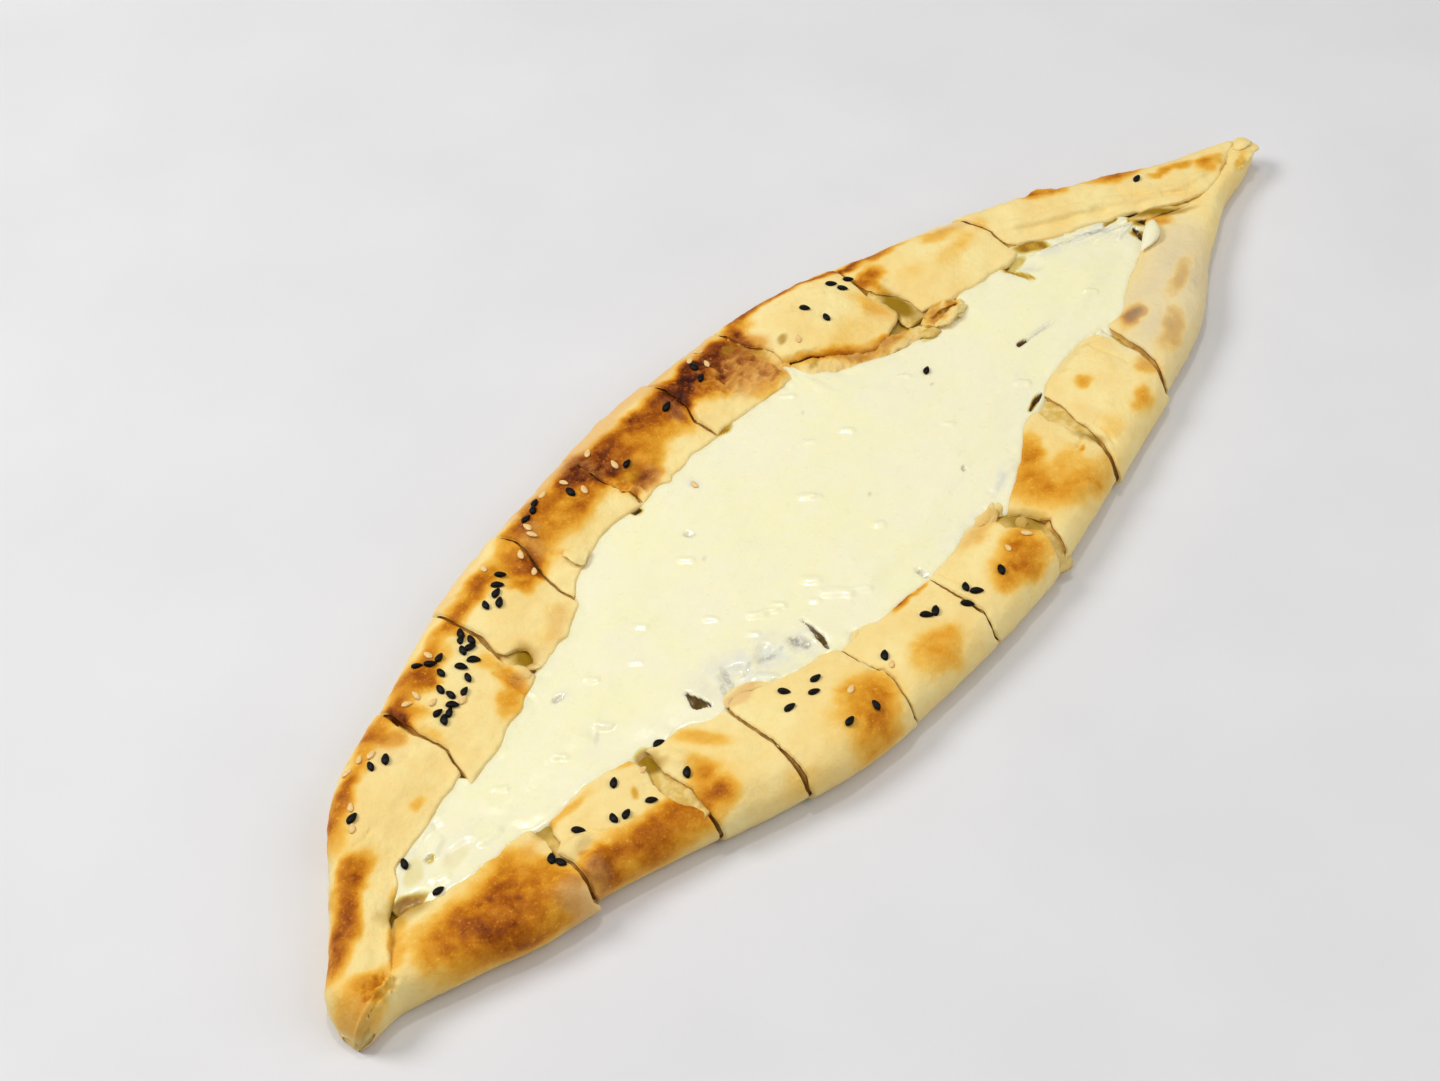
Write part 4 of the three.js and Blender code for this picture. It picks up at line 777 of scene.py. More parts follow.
def outside(st, index, far):
    """Outer skin of one side from its bottom corner to the middle of its lip: y, z."""
    way, edge = st.side(far)
    jog, lift = SLICES[index][0 if far else 1], SLICES[index][2]
    lip = lip_line(st, index, far)
    edge = edge + way * jog * np.minimum(1, np.abs(edge - lip) / 20)
    width = np.abs(edge - lip)
    high = st.rim + lift
    foot_inset = np.minimum(FOOT_INSET, width * 0.2)
    crest_inset = np.minimum(CREST_INSET, width * NARROW)
    r = FLAP_LIP / 2 * mix(0.72, 0.8, st.share)
    top = st.lip_top(far)
    q, z = [], []
    for k in range(COLUMNS_FOLD_LOW):
        a = math.radians(-90 + 90 * k / COLUMNS_FOLD_LOW)
        q.append(foot_inset * (1 - math.cos(a)))
        z.append(high * WAIST * (1 + math.sin(a)))
    for k in range(COLUMNS_FOLD_TOP):
        a = math.radians(90 * k / COLUMNS_FOLD_TOP)
        q.append(crest_inset * (1 - math.cos(a)) ** 1.12)
        z.append(high * (WAIST + (1 - WAIST) * math.sin(a) ** 0.92))
    for k in range(COLUMNS_FLAP):
        u = k / (COLUMNS_FLAP - 1)
        q.append(mix(crest_inset, width - r, u))
        z.append(mix(high, top, ease(u) * 0.55 + u * 0.45))
    for k in range(1, COLUMNS_LIP + 1):
        a = math.radians(90 - 90 * k / COLUMNS_LIP)
        q.append(width - r + r * math.cos(a))
        z.append(top - r + r * math.sin(a))
    q, z = np.stack(q, 1), np.stack(z, 1)
    y = edge[:, None] - way * q
    return y, drape(st, y, z, lip, high) if far else z


def drape(st, y, z, lip, high):
    """Height of the far flap, which lies on the near side's skin where it reaches over the blunt tip."""
    near = st.near[:, None]
    crest = np.minimum(CREST_INSET, np.abs(st.near - st.lip_near) * NARROW)[:, None]
    over = np.clip((y - near) / np.maximum(crest, 0.5), 0, 1)
    skin = high[:, None] * (WAIST + (1 - WAIST) * (1 - (1 - over ** 0.9) ** 2) ** 0.46)
    at_lip = ease((4.5 - np.abs(y - lip[:, None])) / 2.5) * (over < 1)
    draped = np.clip(z, skin + 0.8, skin + 1.9) - 3 * np.maximum(0, near + 0.2 - y)
    return mix(z, draped, at_lip * (st.closed[:, None] > 0.5) * (st.x[:, None] < 0))


def inside(st, index, far):
    """Skin of one side towards the filling, from the base corner to the underside of its lip: y, z."""
    way, edge = st.side(far)
    lip = lip_line(st, index, far)
    c = st.share
    wall = np.minimum(FOLD_WALL, np.abs(edge - lip) * NARROW)
    root = st.rim - FLAP_ROOT
    under = st.rim - LIP_DROP - FLAP_LIP
    top = st.lip_top(far)

    def at(y, z):
        return st.seam + (y - st.seam) * mix(c, 1, c), mix(st.rim - LIP_DROP, z, c)
    knots = [
        at(edge - way * (wall + 3.4), BASE),
        at(edge - way * wall, mix(BASE, root, 0.5)),
        at(edge - way * (wall + 4), root),
        at(mix(lip, edge - way * wall, 0.45), mix(under, root, 0.5)),
        (lip + way * LIP_TUCK * mix(0.5, 1, c), top - FLAP_LIP * mix(0.72, 0.9, c)),
        (lip + way * 0.25, top - FLAP_LIP * mix(0.6, 0.7, c)),
    ]
    total = COLUMNS_FOLD_LOW + COLUMNS_FOLD_TOP + COLUMNS_FLAP + COLUMNS_LIP
    stops = np.array([0, COLUMNS_FOLD_LOW * 0.8, COLUMNS_FOLD_TOP + 4,
                      COLUMNS_FOLD_TOP + COLUMNS_FLAP * 0.6, total - COLUMNS_LIP * 0.8, total - 1])
    ys, zs = [], []
    for k in range(total):
        j = int(np.clip(np.searchsorted(stops, k, side="right") - 1, 0, len(stops) - 2))
        t = (k - stops[j]) / (stops[j + 1] - stops[j])
        ys.append(mix(knots[j][0], knots[j + 1][0], t))
        zs.append(mix(knots[j][1], knots[j + 1][1], t))
    return np.stack(ys, 1), np.stack(zs, 1)


def slice_surface(index):
    """Outer and inner skins of one slice (stations, columns, 3), and how far along its flap a column is."""
    start, stop = slice_span(index)
    count = max(8, int(round((stop - start) / STEP)))
    x = list(np.linspace(start, stop, count + 1))
    x[1:1] = [start + step for step in CUT_STEPS]
    x[-1:-1] = [stop - step for step in reversed(CUT_STEPS)]
    x = np.array(x)
    st = Station(x, index, True)
    t = (np.arange(COLUMNS_BASE) + 1) / (COLUMNS_BASE + 1)
    share = np.concatenate([np.zeros(COLUMNS_FOLD_LOW + 6), np.linspace(0, 0.5, COLUMNS_FOLD_TOP - 6),
                            np.linspace(0.5, 1, COLUMNS_FLAP), np.ones(COLUMNS_LIP)])
    flap = np.concatenate([share[::-1], np.zeros(COLUMNS_BASE), share])
    is_far = (np.arange(len(flap)) > len(share) + COLUMNS_BASE / 2)[None, :]
    part = ((x - start) / (stop - start))[:, None]
    skins = []
    for skin in (outside, inside):
        far, near = skin(st, index, True), skin(st, index, False)
        y, z = (np.concatenate([near[k][:, ::-1], near[k][:, :1] + (far[k][:, :1] - near[k][:, :1]) * t,
                                far[k]], 1) for k in (0, 1))
        real = ease((z - 2.5) / 6) * ease((np.abs(y - st.seam[:, None]) + 4) / 6)
        first, last = 0, 0
        if index > 0:
            first = mix(0.25 - CUTS[index - 1][2] / 2, cut_offsets(index - 1, y, is_far, True), real)
        if index < len(CUTS):
            last = mix(CUTS[index][2] / 2 - 0.25, cut_offsets(index, y, is_far, False), real)
        along = x[:, None] + st.slope[:, None] * y + mix(first, last, part)
        skins.append(np.stack([along, y, z], -1))
    return *skins, flap


def folded(p, spot):
    """Sharp folds of crumpled skin at p, about -1 to 1.5, fading out around a spot."""
    size = spot[6]
    q = p * np.array([1, 1, 0.4])
    folds = 1 - 2 * np.abs(noise(q + 1.4 * noise(q, size, 5)[..., None], size, 33))
    folds = folds + 0.5 * (1 - 2 * np.abs(noise(q, size / 2.2, 34)))
    return folds * blob(p[..., 0], p[..., 1], spot, 0.6)


def crease_shares(p):
    """Height of each crease with the points near it and its share there."""
    x, y = p[..., 0], p[..., 1]
    for half, height, points in CREASES:
        xs, ys = zip(*points)
        near = (x > min(xs) - 3 * half) & (x < max(xs) + 3 * half)
        near &= (y > min(ys) - 3 * half) & (y < max(ys) + 3 * half)
        if near.any():
            wave = 0.3 * noise(p[near], 1.8, 12)
            yield height, near, path_share(x[near] + wave, y[near] + wave, points, half, 1.4)


def skin_relief(p):
    """Swells, crumples and creases of the baked skin at the outer points p, mm upwards."""
    x, y = p[..., 0], p[..., 1]
    lift = swelling(p, SKIN_SWELLING)
    for spot in SWELLS:
        near = close_to(x, spot)
        lift[near] += spot[5] * np.maximum(0, blob(x[near], y[near], spot, 0.9))
    for spot in CRUMPLES:
        near = close_to(x, spot)
        if near.any():
            lift[near] += 0.5 * spot[5] * folded(p[near], spot)
    for height, near, share in crease_shares(p):
        lift[near] += height * share
    return lift


def grid_normals(p):
    n = np.cross(np.gradient(p, axis=0), np.gradient(p, axis=1))
    return n / np.maximum(np.linalg.norm(n, axis=-1, keepdims=True), 1e-9)


def knife_distance(index, line_of_points):
    """Distance along a slice from its nearest cut."""
    steps = np.linalg.norm(np.diff(line_of_points, axis=0), axis=1)
    into = np.cumsum(np.concatenate([[0], steps]))
    after = into if index > 0 else into * 0 + FAR_AWAY
    before = into[-1] - into if index < len(CUTS) else into * 0 + FAR_AWAY
    return np.minimum(after, before)[:, None]


def slice_skins(index):
    """Both skins of a slice with all their relief."""
    outer, inner, flap = slice_surface(index)
    corner = (len(flap) - COLUMNS_BASE) // 2
    normal = grid_normals(outer)
    normal = normal * (1 if normal[outer.shape[0] // 2, corner // 2, 2] > 0 else -1)
    dip = 0.4 * np.exp(-knife_distance(index, outer[:, corner // 2]) / 0.7) * ease(flap * 2)
    raised = (skin_relief(outer) - dip) * ease((outer[..., 2] - 1) / 6)
    to_tip = np.minimum(outer[..., 0] - NEAR_TIP, FAR_TIP - outer[..., 0])
    raised = raised * mix(0.3, 1, ease(to_tip / 6))
    fine = (0.15 * fractal(outer, 2.6, 91, 2) + 0.045 * noise(outer, 1, 95)) * ease(outer[..., 2] / 3)
    outer = outer + normal * (raised * 0.6 + fine)[..., None]
    outer[..., 2] += 0.4 * raised * np.maximum(normal[..., 2], 0)
    inner[..., 2] += raised * flap ** 2 * ease(inner[..., 2] / 6) * cavity_share(inner[..., 0])
    outer[..., 2] = np.maximum(outer[..., 2], 0)
    inner[..., 2] = np.maximum(inner[..., 2], 0.2)
    for depth, amount in enumerate(CUT_ROUNDING):
        for row, is_cut in ((depth, index > 0), (-1 - depth, index < len(CUTS))):
            if is_cut:
                o, i = outer[row].copy(), inner[row].copy()
                outer[row], inner[row] = mix(o, i, amount), mix(i, o, amount)
    return outer, inner


def grid_quads(rows, columns, closed):
    """Faces of a grid of vertices; a closed one joins its last column to the first."""
    across = np.arange(columns if closed else columns - 1)[None, :]
    k = np.arange(rows - 1)[:, None] * columns
    a, b = k + across, k + (across + 1) % columns
    return np.stack([a, a + columns, b + columns, b], -1).reshape(-1, 4)


def tube_ends(rows, columns):
    """Fans that close both ends of a closed grid."""
    fan = np.stack([np.zeros(columns - 2, int), np.arange(1, columns - 1), np.arange(2, columns)], -1)
    return np.concatenate([fan, fan[:, ::-1] + (rows - 1) * columns])


def build_slice(index):
    """Closed slice of both skins and the crumb at its cuts: vertices, faces, cut and inner shares."""
    outer, inner = slice_skins(index)
    ring = np.concatenate([outer, inner[:, ::-1]], 1)
    rows, count = ring.shape[:2]
    columns = outer.shape[1]
    verts = [ring.reshape(-1, 3)]
    faces = [grid_quads(rows, count, True)[:, [0, 3, 2, 1]]]
    within = [np.tile(np.arange(count) >= columns, rows).astype(float)]
    ends = ((0, -1, index > 0), (rows - 1, 1, index < len(CUTS)))
    cut_rows = np.zeros((rows, count))
    for row, _, is_cut in ends:
        cut_rows[row] = CUT_RIM * is_cut
    cut = [cut_rows.reshape(-1)]
    base = rows * count
    for row, way, is_cut in ends:
        layers = [row * count + np.arange(columns)]
        for j in range(1, CAP_ROWS):
            t = j / CAP_ROWS
            p = mix(outer[row], inner[row], t)
            crumb = 0.3 * fractal(p, 2.2, 900 + index, 3) + 0.15
            p[:, 0] -= way * crumb * min(1, 4 * t * (1 - t) + 0.3)
            verts.append(p)
            within.append(np.zeros(columns))
            cut.append(np.full(columns, float(is_cut)))
            layers.append(base + np.arange(columns))
            base += columns
        layers.append(row * count + count - 1 - np.arange(columns))
        for a, b in zip(layers[:-1], layers[1:]):
            quads = np.stack([a[:-1], a[1:], b[1:], b[:-1]], -1)
            faces.append(quads if way < 0 else quads[:, ::-1])
    return tuple(np.concatenate(part) for part in (verts, faces, cut, within))


def build_strip(kind, thick, points, seed):
    """Closed strip of thin dough: vertices, quads and triangles."""
    path = np.array(points, float)
    steps = np.concatenate([[0], np.cumsum(np.linalg.norm(np.diff(path[:, :3], axis=0), axis=1))])
    t = np.linspace(0, steps[-1], max(12, int(steps[-1] / 0.4)))
    x, y, z, half = (curve(list(zip(steps, path[:, k])))(t) for k in range(4))
    along = np.stack([np.gradient(x), np.gradient(y)], 1)
    along /= np.linalg.norm(along, axis=1, keepdims=True)
    rows, columns = len(t), 40
    taper = np.minimum(1, half / 1.5)
    verts = np.empty((rows, columns, 3))
    for j in range(columns):
        a = 2 * math.pi * j / columns
        side = np.sign(math.cos(a)) * abs(math.cos(a)) ** 0.8
        ragged = 1 + 0.16 * line_noise(t + 9 * side, 2.2, seed) + 0.1 * line_noise(t - 5 * side, 1, seed)
        rim = half * side * ragged
        verts[:, j, 0] = x - along[:, 1] * rim
        verts[:, j, 1] = y + along[:, 0] * rim
        verts[:, j, 2] = z + thick / 2 * math.sin(a) * taper
    verts = verts.reshape(-1, 3)
    ground = verts * np.array([1, 1, 0.3])
    if kind == "crumpled":
        bent = ground + 1.2 * noise(ground, 2.6, seed + 3)[:, None]
        verts[:, 2] += 0.7 - 1.5 * np.abs(noise(bent, 2.8, seed)) - 0.6 * np.abs(noise(bent, 1.2, seed + 1))
    else:
        verts[:, 2] += 0.3 * noise(ground, 3, seed) + 0.2 * noise(ground, 1.3, seed + 1)
    return verts, grid_quads(rows, columns, True), tube_ends(rows, columns)


def dough_layers(p, cut, within):
    """Vertex colours: browning with painted shade in creases and folds, olive grease with painted shade, pink
    and pale shares, then cut, inner and height shares.
    """
    x = p[:, 0] + (1.5 * noise(p, 6, 3) + 0.6 * noise(p, 2, 4))
    y = p[:, 1] + (1.5 * noise(p, 6, 5) + 0.6 * noise(p, 2, 6))
    brown_and_shade = 0.55 * stain(x, y, BROWN, 0.62) + 0.45 * stain(x, y, BROWN, 0.95)
    brown_and_shade = brown_and_shade * (1 + 0.24 * fractal(p, 5, 23, 3, 0.6))
    # Painted light and shade in crumpled skin: less browning on the folds' ridges, more in their valleys
    for spot in CRUMPLES:
        near = close_to(p[:, 0], spot)
        brown_and_shade[near] *= 1 - 0.26 * min(1, spot[5] / 1.6) * folded(p[near], spot)
    # Painted shade: grooves a little browner
    for depth, near, share in crease_shares(p):
        if depth < 0:
            brown_and_shade[near] += 0.05 * share
    height = ease((p[:, 2] - 2) / 6)
    brown_and_shade = brown_and_shade * mix(0.25, 1, height)
    tone = np.stack([brown_and_shade, stain(x, y, OLIVE_GREASE_AND_SHADE), stain(x, y, PINK), stain(x, y, PALE, 0.6)], -1)
    return {"tone": tone, "kind": np.stack([cut, within, height, np.ones_like(cut)], -1)}


def mesh_object(name, verts, faces, layers=None):
    """Object of vertices in mm and a list of face arrays."""
    mesh = bpy.data.meshes.new(name)
    verts = np.asarray(verts, float) * MM
    mesh.vertices.add(len(verts))
    mesh.vertices.foreach_set("co", verts.ravel())
    corners = np.concatenate([part.ravel() for part in faces])
    totals = np.concatenate([np.full(len(part), part.shape[1]) for part in faces])
    mesh.loops.add(len(corners))
    mesh.loops.foreach_set("vertex_index", corners.astype(np.int32))
    mesh.polygons.add(len(totals))
    mesh.polygons.foreach_set("loop_start", (np.cumsum(totals) - totals).astype(np.int32))
    mesh.polygons.foreach_set("loop_total", totals.astype(np.int32))
    mesh.update(calc_edges=True)
    mesh.validate()
    mesh.polygons.foreach_set("use_smooth", np.ones(len(mesh.polygons), dtype=bool))
    for label, values in (layers or {}).items():
        layer = mesh.color_attributes.new(label, "FLOAT_COLOR", "POINT")
        layer.data.foreach_set("color", np.asarray(values, np.float32).ravel())
    obj = bpy.data.objects.new(name, mesh)
    bpy.context.scene.collection.objects.link(obj)
    return obj


def mouth_lips(x):
    """The slices' own lips along the whole mouth, far and near, smoothed over the cuts."""
    bounds = [-HALF_LENGTH - 1] + [cut[0] for cut in CUTS] + [HALF_LENGTH + 1]
    lips = np.zeros((2, len(x)))
    for index in range(len(CUTS) + 1):
        own = (x >= bounds[index]) & (x < bounds[index + 1])
        if own.any():
            st = Station(x[own], index)
            lips[:, own] = lip_line(st, index, True), lip_line(st, index, False)
    on_ledge = (x > LEDGE[0][0]) & (x < LEDGE[-1][0])
    st = Station(x[on_ledge])
    lips[0, on_ledge] = meet(line(LEDGE), st.x, st.slope) + 0.5 * line_noise(st.x, 3, 44)
    soft = np.array([0.15, 0.2, 0.3, 0.2, 0.15])
    wide = np.pad(lips, ((0, 0), (2, 2)), mode="edge")
    return [np.convolve(row, soft, mode="valid")[:, None] for row in wide]


class FillingPlan:
    """Plan of the filling's top, station by station and column by column."""

    def __init__(self):
        x = np.arange(FILLING_ENDS[0], FILLING_ENDS[1] + 0.01, STEP)
        st = Station(x)
        c, seam = st.share[:, None], st.seam[:, None]
        low, high = (st.near + 4 * st.share)[:, None], (st.far - 4 * st.share)[:, None]
        low, high = (seam + (side - seam) * mix(c, 1, c) * FILLING_CLEAR for side in (low, high))
        lip_far, lip_near = mouth_lips(x)
        shown_low, shown_high = np.clip(lip_near - 4.5, low, high), np.clip(lip_far + 4.5, low, high)
        hidden = np.linspace(0, 1, COLUMNS_HIDDEN + 1)[None, :]
        shown = np.linspace(0, 1, COLUMNS_SHOWN + 1)[None, 1:-1]
        y = np.concatenate([mix(low, shown_low, hidden), mix(shown_low, shown_high, shown),
                            mix(shown_high, high, hidden)], 1)
        self.x, self.slope, self.y = x[:, None], st.slope[:, None], y
        self.lips = (lip_far, lip_near)
        self.along = self.x + self.slope * y
        self.flat = np.stack([self.along, y, y * 0], -1)
        self.edge = np.minimum(y - lip_near, lip_far - y)
        across = np.clip((y - lip_near) / np.maximum(lip_far - lip_near, 1), 0, 1)
        self.under = mix(st.lip_top(False)[:, None], st.lip_top(True)[:, None], across) - 2.6


def filling_height(plan):
    """Height of the labneh: level under the lips, rising a little towards the middle, with its relief."""
    x, y, edge, flat, along = plan.x, plan.y, plan.edge, plan.flat, plan.along
    lip_far, lip_near = plan.lips
    rise = 0.75 * ease(((lip_far - lip_near) / 2 - 2) / 16)
    z = plan.under + 2.2 * ease((edge + 3) / 3.6) + rise * ease(edge / 15)
    for lip in plan.lips:
        rim = skin_relief(np.stack([x + plan.slope * lip, lip, lip * 0 + 11], -1))
        z = z + rim * ease(1 - np.abs(y - lip) / 5)
    z = z + ease((edge + 2) / 6) * swelling(flat, LABNEH_SWELLING)
    z = z + ease((edge + 0.5) / 1) * 0.13 * noise(flat, 2.2, 13) * ease((4 - edge) / 3)
    z = z + 0.14 * ease(edge / 4) * noise(flat * np.array([0.3, 1, 1]), 3.4, 15)
    wave = warp(flat, 0.5, 3, 51)
    px, py = along + wave[0], y + wave[1]
    ridges = list(MOUNDS)
    turn = math.radians(SMEAR_TURN)
    for sx, sy, length, half, height in SMEARS:
        dx, dy = length / 2 * math.cos(turn), length / 2 * math.sin(turn)
        ridges.append((half, height, [(sx - dx, sy - dy), (sx + dx, sy + dy)]))
    for half, height, points in ridges:
        xs = [q[0] for q in points]
        near = (px > min(xs) - 3 * half - 1) & (px < max(xs) + 3 * half + 1)
        z[near] += height * path_share(px[near], py[near], points, half, 1.6)
    z = np.where(edge < -3.8, np.minimum(z, plan.under - 0.2), z) - 2.4 * ease((along - 141.5) / 6)
    return z + 2.2 * stain(along, y, CREAM) * ease(-edge / 1.5), mix(along, px, 0.5), mix(y, py, 0.5)


def sink_holes(z, hx, hy):
    """Lowers z at the pits and slits, and returns the mark of the deep ones."""
    hole = np.zeros_like(z)
    for first, last, depth, points in HOLES:
        xs = [q[0] for q in points]
        reach = 3 * max(first, last) + 2
        near = (hx > min(xs) - reach) & (hx < max(xs) + reach)
        away, half = path_distance(hx[near], hy[near], points, (first, last))
        if depth > DEEP_HOLE:
            z[near] -= depth * (1 - ease((away / half - 0.3) / 0.8))
            hole[near] = np.maximum(hole[near], np.clip(0.5 + (half - away) / HOLE_SPAN, 0, 1))
        else:
            z[near] -= depth * (1 - ease((away / half - 0.65) / 0.7))
    return hole


def filling_marks(plan, hole):
    """Vertex colours of the labneh: oil with painted shade, grey, streak and hole."""
    y, along, edge, flat = plan.y, plan.along, plan.edge, plan.flat
    wide, sharp = warp(flat, 1.2, 5, 61), warp(flat, 0.4, 1.6, 63)
    gx, gy = along + wide[0], y + wide[1]
    # painted shade: the labneh under the flaps takes the oil colour, which darkens the cuts and lips
    under_flap_shade = ease((-edge - 1.6) / 1.0)
    oil_and_shade = np.maximum(under_flap_shade * 0.7 * (1 - stain(along, y, CREAM)), stain(gx, gy, OIL_AND_SHADE, 0.35))
    # painted shade: a faint oil-coloured line where the labneh meets the lips
    oil_and_shade = np.maximum(oil_and_shade, 0.08 * ease((1.8 - edge) / 1.8))
    streak = stain(along + sharp[0], y + sharp[1], STREAKS, 0.5)
    return np.stack([oil_and_shade, stain(gx, gy, GREY, 0.7), streak, hole], -1).reshape(-1, 4)


def build_filling():
    """Closed labneh filling down to the base: vertices, quads and triangles, vertex colours."""
    plan = FillingPlan()
    z, hx, hy = filling_height(plan)
    hole = sink_holes(z, hx, hy)
    rows, columns = z.shape
    top = np.stack([plan.along, plan.y, z], -1)
    bottom = top[:, [0, -1]]
    bottom[..., 2] = BASE + 0.1
    n = rows * columns
    a, b = np.arange(rows - 1) * columns, n + 2 * np.arange(rows - 1)
    last = a + columns - 1
    sides = [np.stack([a, b, b + 2, a + columns], -1), np.stack([last, last + columns, b + 3, b + 1], -1),
             np.stack([b, b + 1, b + 3, b + 2], -1)]
    ends = []
    for row, flip in ((0, 1), (rows - 1, -1)):
        ring = row * columns + np.arange(columns)
        foot = n + 2 * row
        fan = np.stack([np.full(columns - 1, foot), ring[:-1], ring[1:]], -1)
        ends += [fan[:, ::flip], np.array([[foot, ring[-1], foot + 1]])[:, ::flip]]
    marks = np.concatenate([filling_marks(plan, hole), np.tile([1.0, 0, 0, 0], (2 * rows, 1))])
    quads = np.concatenate([grid_quads(rows, columns, False)] + sides)
    return np.concatenate([top.reshape(-1, 3), bottom.reshape(-1, 3)]), quads, np.concatenate(ends), marks


def build_drop():
    """Blob of labneh squeezed out over the last near flap."""
    rows, columns = 30, 32
    verts = []
    centre = curve(DROP_Y)
    for i in range(rows):
        t = (i + 0.5) / rows
        girth = DROP_GIRTH * math.sin(math.pi * t ** 1.5) ** 0.7
        for j in range(columns):
            a = 2 * math.pi * j / columns
            verts.append((mix(*DROP_X, t) + 0.3 * girth * math.cos(a), centre(t) - girth * math.cos(a),
                          mix(*DROP_Z, t) + 0.62 * girth * math.sin(a)))
    return np.array(verts), grid_quads(rows, columns, True), tube_ends(rows, columns)


def seed_mesh(kind, x, y, turn, rand):
    """One seed on the surface below (x, y): a drop form, black ones with three soft ridges."""
    place, normal = drop_on_bread(x, y)
    length, width, high, ridge = SEED_SIZES[kind]
    size = rand.uniform(0.9, 1.08)
    roll = rand.uniform(-0.5, 0.5)
    bow = rand.uniform(-0.2, 0.2)
    rows, columns = SEED_ROWS, SEED_COLUMNS
    along = Vector((math.cos(turn), math.sin(turn), 0))
    along = (along - normal * along.dot(normal)).normalized()
    across = normal.cross(along)
    tip = along * 0.5 * length * size
    verts = [place + normal * 0.2 - tip]
    for i in range(1, rows):
        t = i / rows
        r = math.sin(math.pi * t) ** 0.62 * (1 - 0.42 * (t - 0.25)) * 0.92
        for j in range(columns):
            a = 2 * math.pi * j / columns
            bulge = 1 + ridge * math.cos(3 * a + roll)
            u = (t - 0.5) * length * size
            v = 0.5 * width * size * r * bulge * math.cos(a) + bow * math.sin(math.pi * t)
            w = 0.5 * high * size * r * bulge * math.sin(a)
            verts.append(place + along * u + across * v + normal * (w + 0.28 * high))
    verts.append(place + normal * 0.2 + tip)
    quads = 1 + grid_quads(rows - 1, columns, True)[:, [0, 3, 2, 1]]
    ring = 1 + np.arange(columns)
    turned = 1 + (ring % columns)
    last = (rows - 2) * columns
    first_tip, last_tip = ring * 0, ring * 0 + len(verts) - 1
    tris = np.concatenate([np.stack([first_tip, turned, ring], -1),
                           np.stack([ring + last, turned + last, last_tip], -1)])
    return np.array(verts), quads, tris


def srgb(r, g, b):
    """Linear colour from the 0 to 255 values of a picture."""
    linear = (v / 255 / 12.92 if v <= 10 else ((v / 255 + 0.055) / 1.055) ** 2.4 for v in (r, g, b))
    return (*linear, 1.0)


class Look:
    """A material and the few kinds of node that the looks below are made of."""

    def __init__(self, name, **sockets):
        self.material = bpy.data.materials.new(name)
        self.material.use_nodes = True
        self.tree = self.material.node_tree
        self.shader = self.tree.nodes["Principled BSDF"]
        for key, value in sockets.items():
            self.shader.inputs[key.replace("_", " ")].default_value = value
        self.place = self.node("ShaderNodeTexCoord").outputs["Object"]

    def node(self, kind, inputs=None, **settings):
        node = self.tree.nodes.new(kind)
        for key, value in settings.items():
            setattr(node, key, value)
        for key, value in (inputs or {}).items():
            self.put(value, node.inputs[key])
        return node

    def put(self, value, socket):
        """Links a socket, or sets a number or a colour of three values."""
        if isinstance(value, bpy.types.NodeSocket):
            self.tree.links.new(value, socket)
        else:
            socket.default_value = srgb(*value) if socket.type == "RGBA" else value

    def set(self, name, value):
        self.put(value, self.shader.inputs[name])

    def noise(self, size, detail=3.0, rough=0.5, stretch=None):
        """Noise with features of about the given size in mm."""
        place = self.place
        if stretch:
            place = self.node("ShaderNodeMapping", {"Vector": place, "Scale": stretch}).outputs[0]
        inputs = {"Vector": place, "Scale": 1 / (size * MM), "Detail": detail, "Roughness": rough}
        return self.node("ShaderNodeTexNoise", inputs).outputs["Fac"]

    def cells(self, size):
        inputs = {"Vector": self.place, "Scale": 1 / (size * MM)}
        return self.node("ShaderNodeTexVoronoi", inputs).outputs["Distance"]

    def layer(self, name):
        """The four shares of a vertex colour."""
        colour = self.node("ShaderNodeAttribute", attribute_name=name)
        parts = self.node("ShaderNodeSeparateColor", {"Color": colour.outputs["Color"]}).outputs
        return parts[0], parts[1], parts[2], colour.outputs["Alpha"]

    def math(self, how, a, b, clamp=False):
        return self.node("ShaderNodeMath", {0: a, 1: b}, operation=how, use_clamp=clamp).outputs[0]

    def times(self, a, b, clamp=False):
        return self.math("MULTIPLY", a, b, clamp)

    def less(self, a, b, clamp=False):
        return self.math("SUBTRACT", a, b, clamp)

    def span(self, value, low, high, to_low=0.0, to_high=1.0):
        """Carries low to high over to another range."""
        return self.node("ShaderNodeMapRange", {"Value": value, "From Min": low, "From Max": high,
                                                "To Min": to_low, "To Max": to_high}).outputs[0]

    def blend(self, share, a, b):
        node = self.node("ShaderNodeMix", data_type="RGBA")
        for value, socket in ((share, node.inputs[0]), (a, node.inputs[6]), (b, node.inputs[7])):
            self.put(value, socket)
        return node.outputs[2]

    def ramp(self, value, stops):
        node = self.node("ShaderNodeValToRGB", {"Fac": value})
        elements = node.color_ramp.elements
        for place, _ in stops[1:-1]:
            elements.new(place)
        for element, (place, colour) in zip(elements, stops):
            element.position, element.color = place, srgb(*colour)
        return node.outputs["Color"]

    def bump(self, height, distance, before=None):
        inputs = {"Height": height, "Distance": distance * MM, "Strength": 1.0}
        if before is not None:
            inputs["Normal"] = before
        return self.node("ShaderNodeBump", inputs).outputs[0]


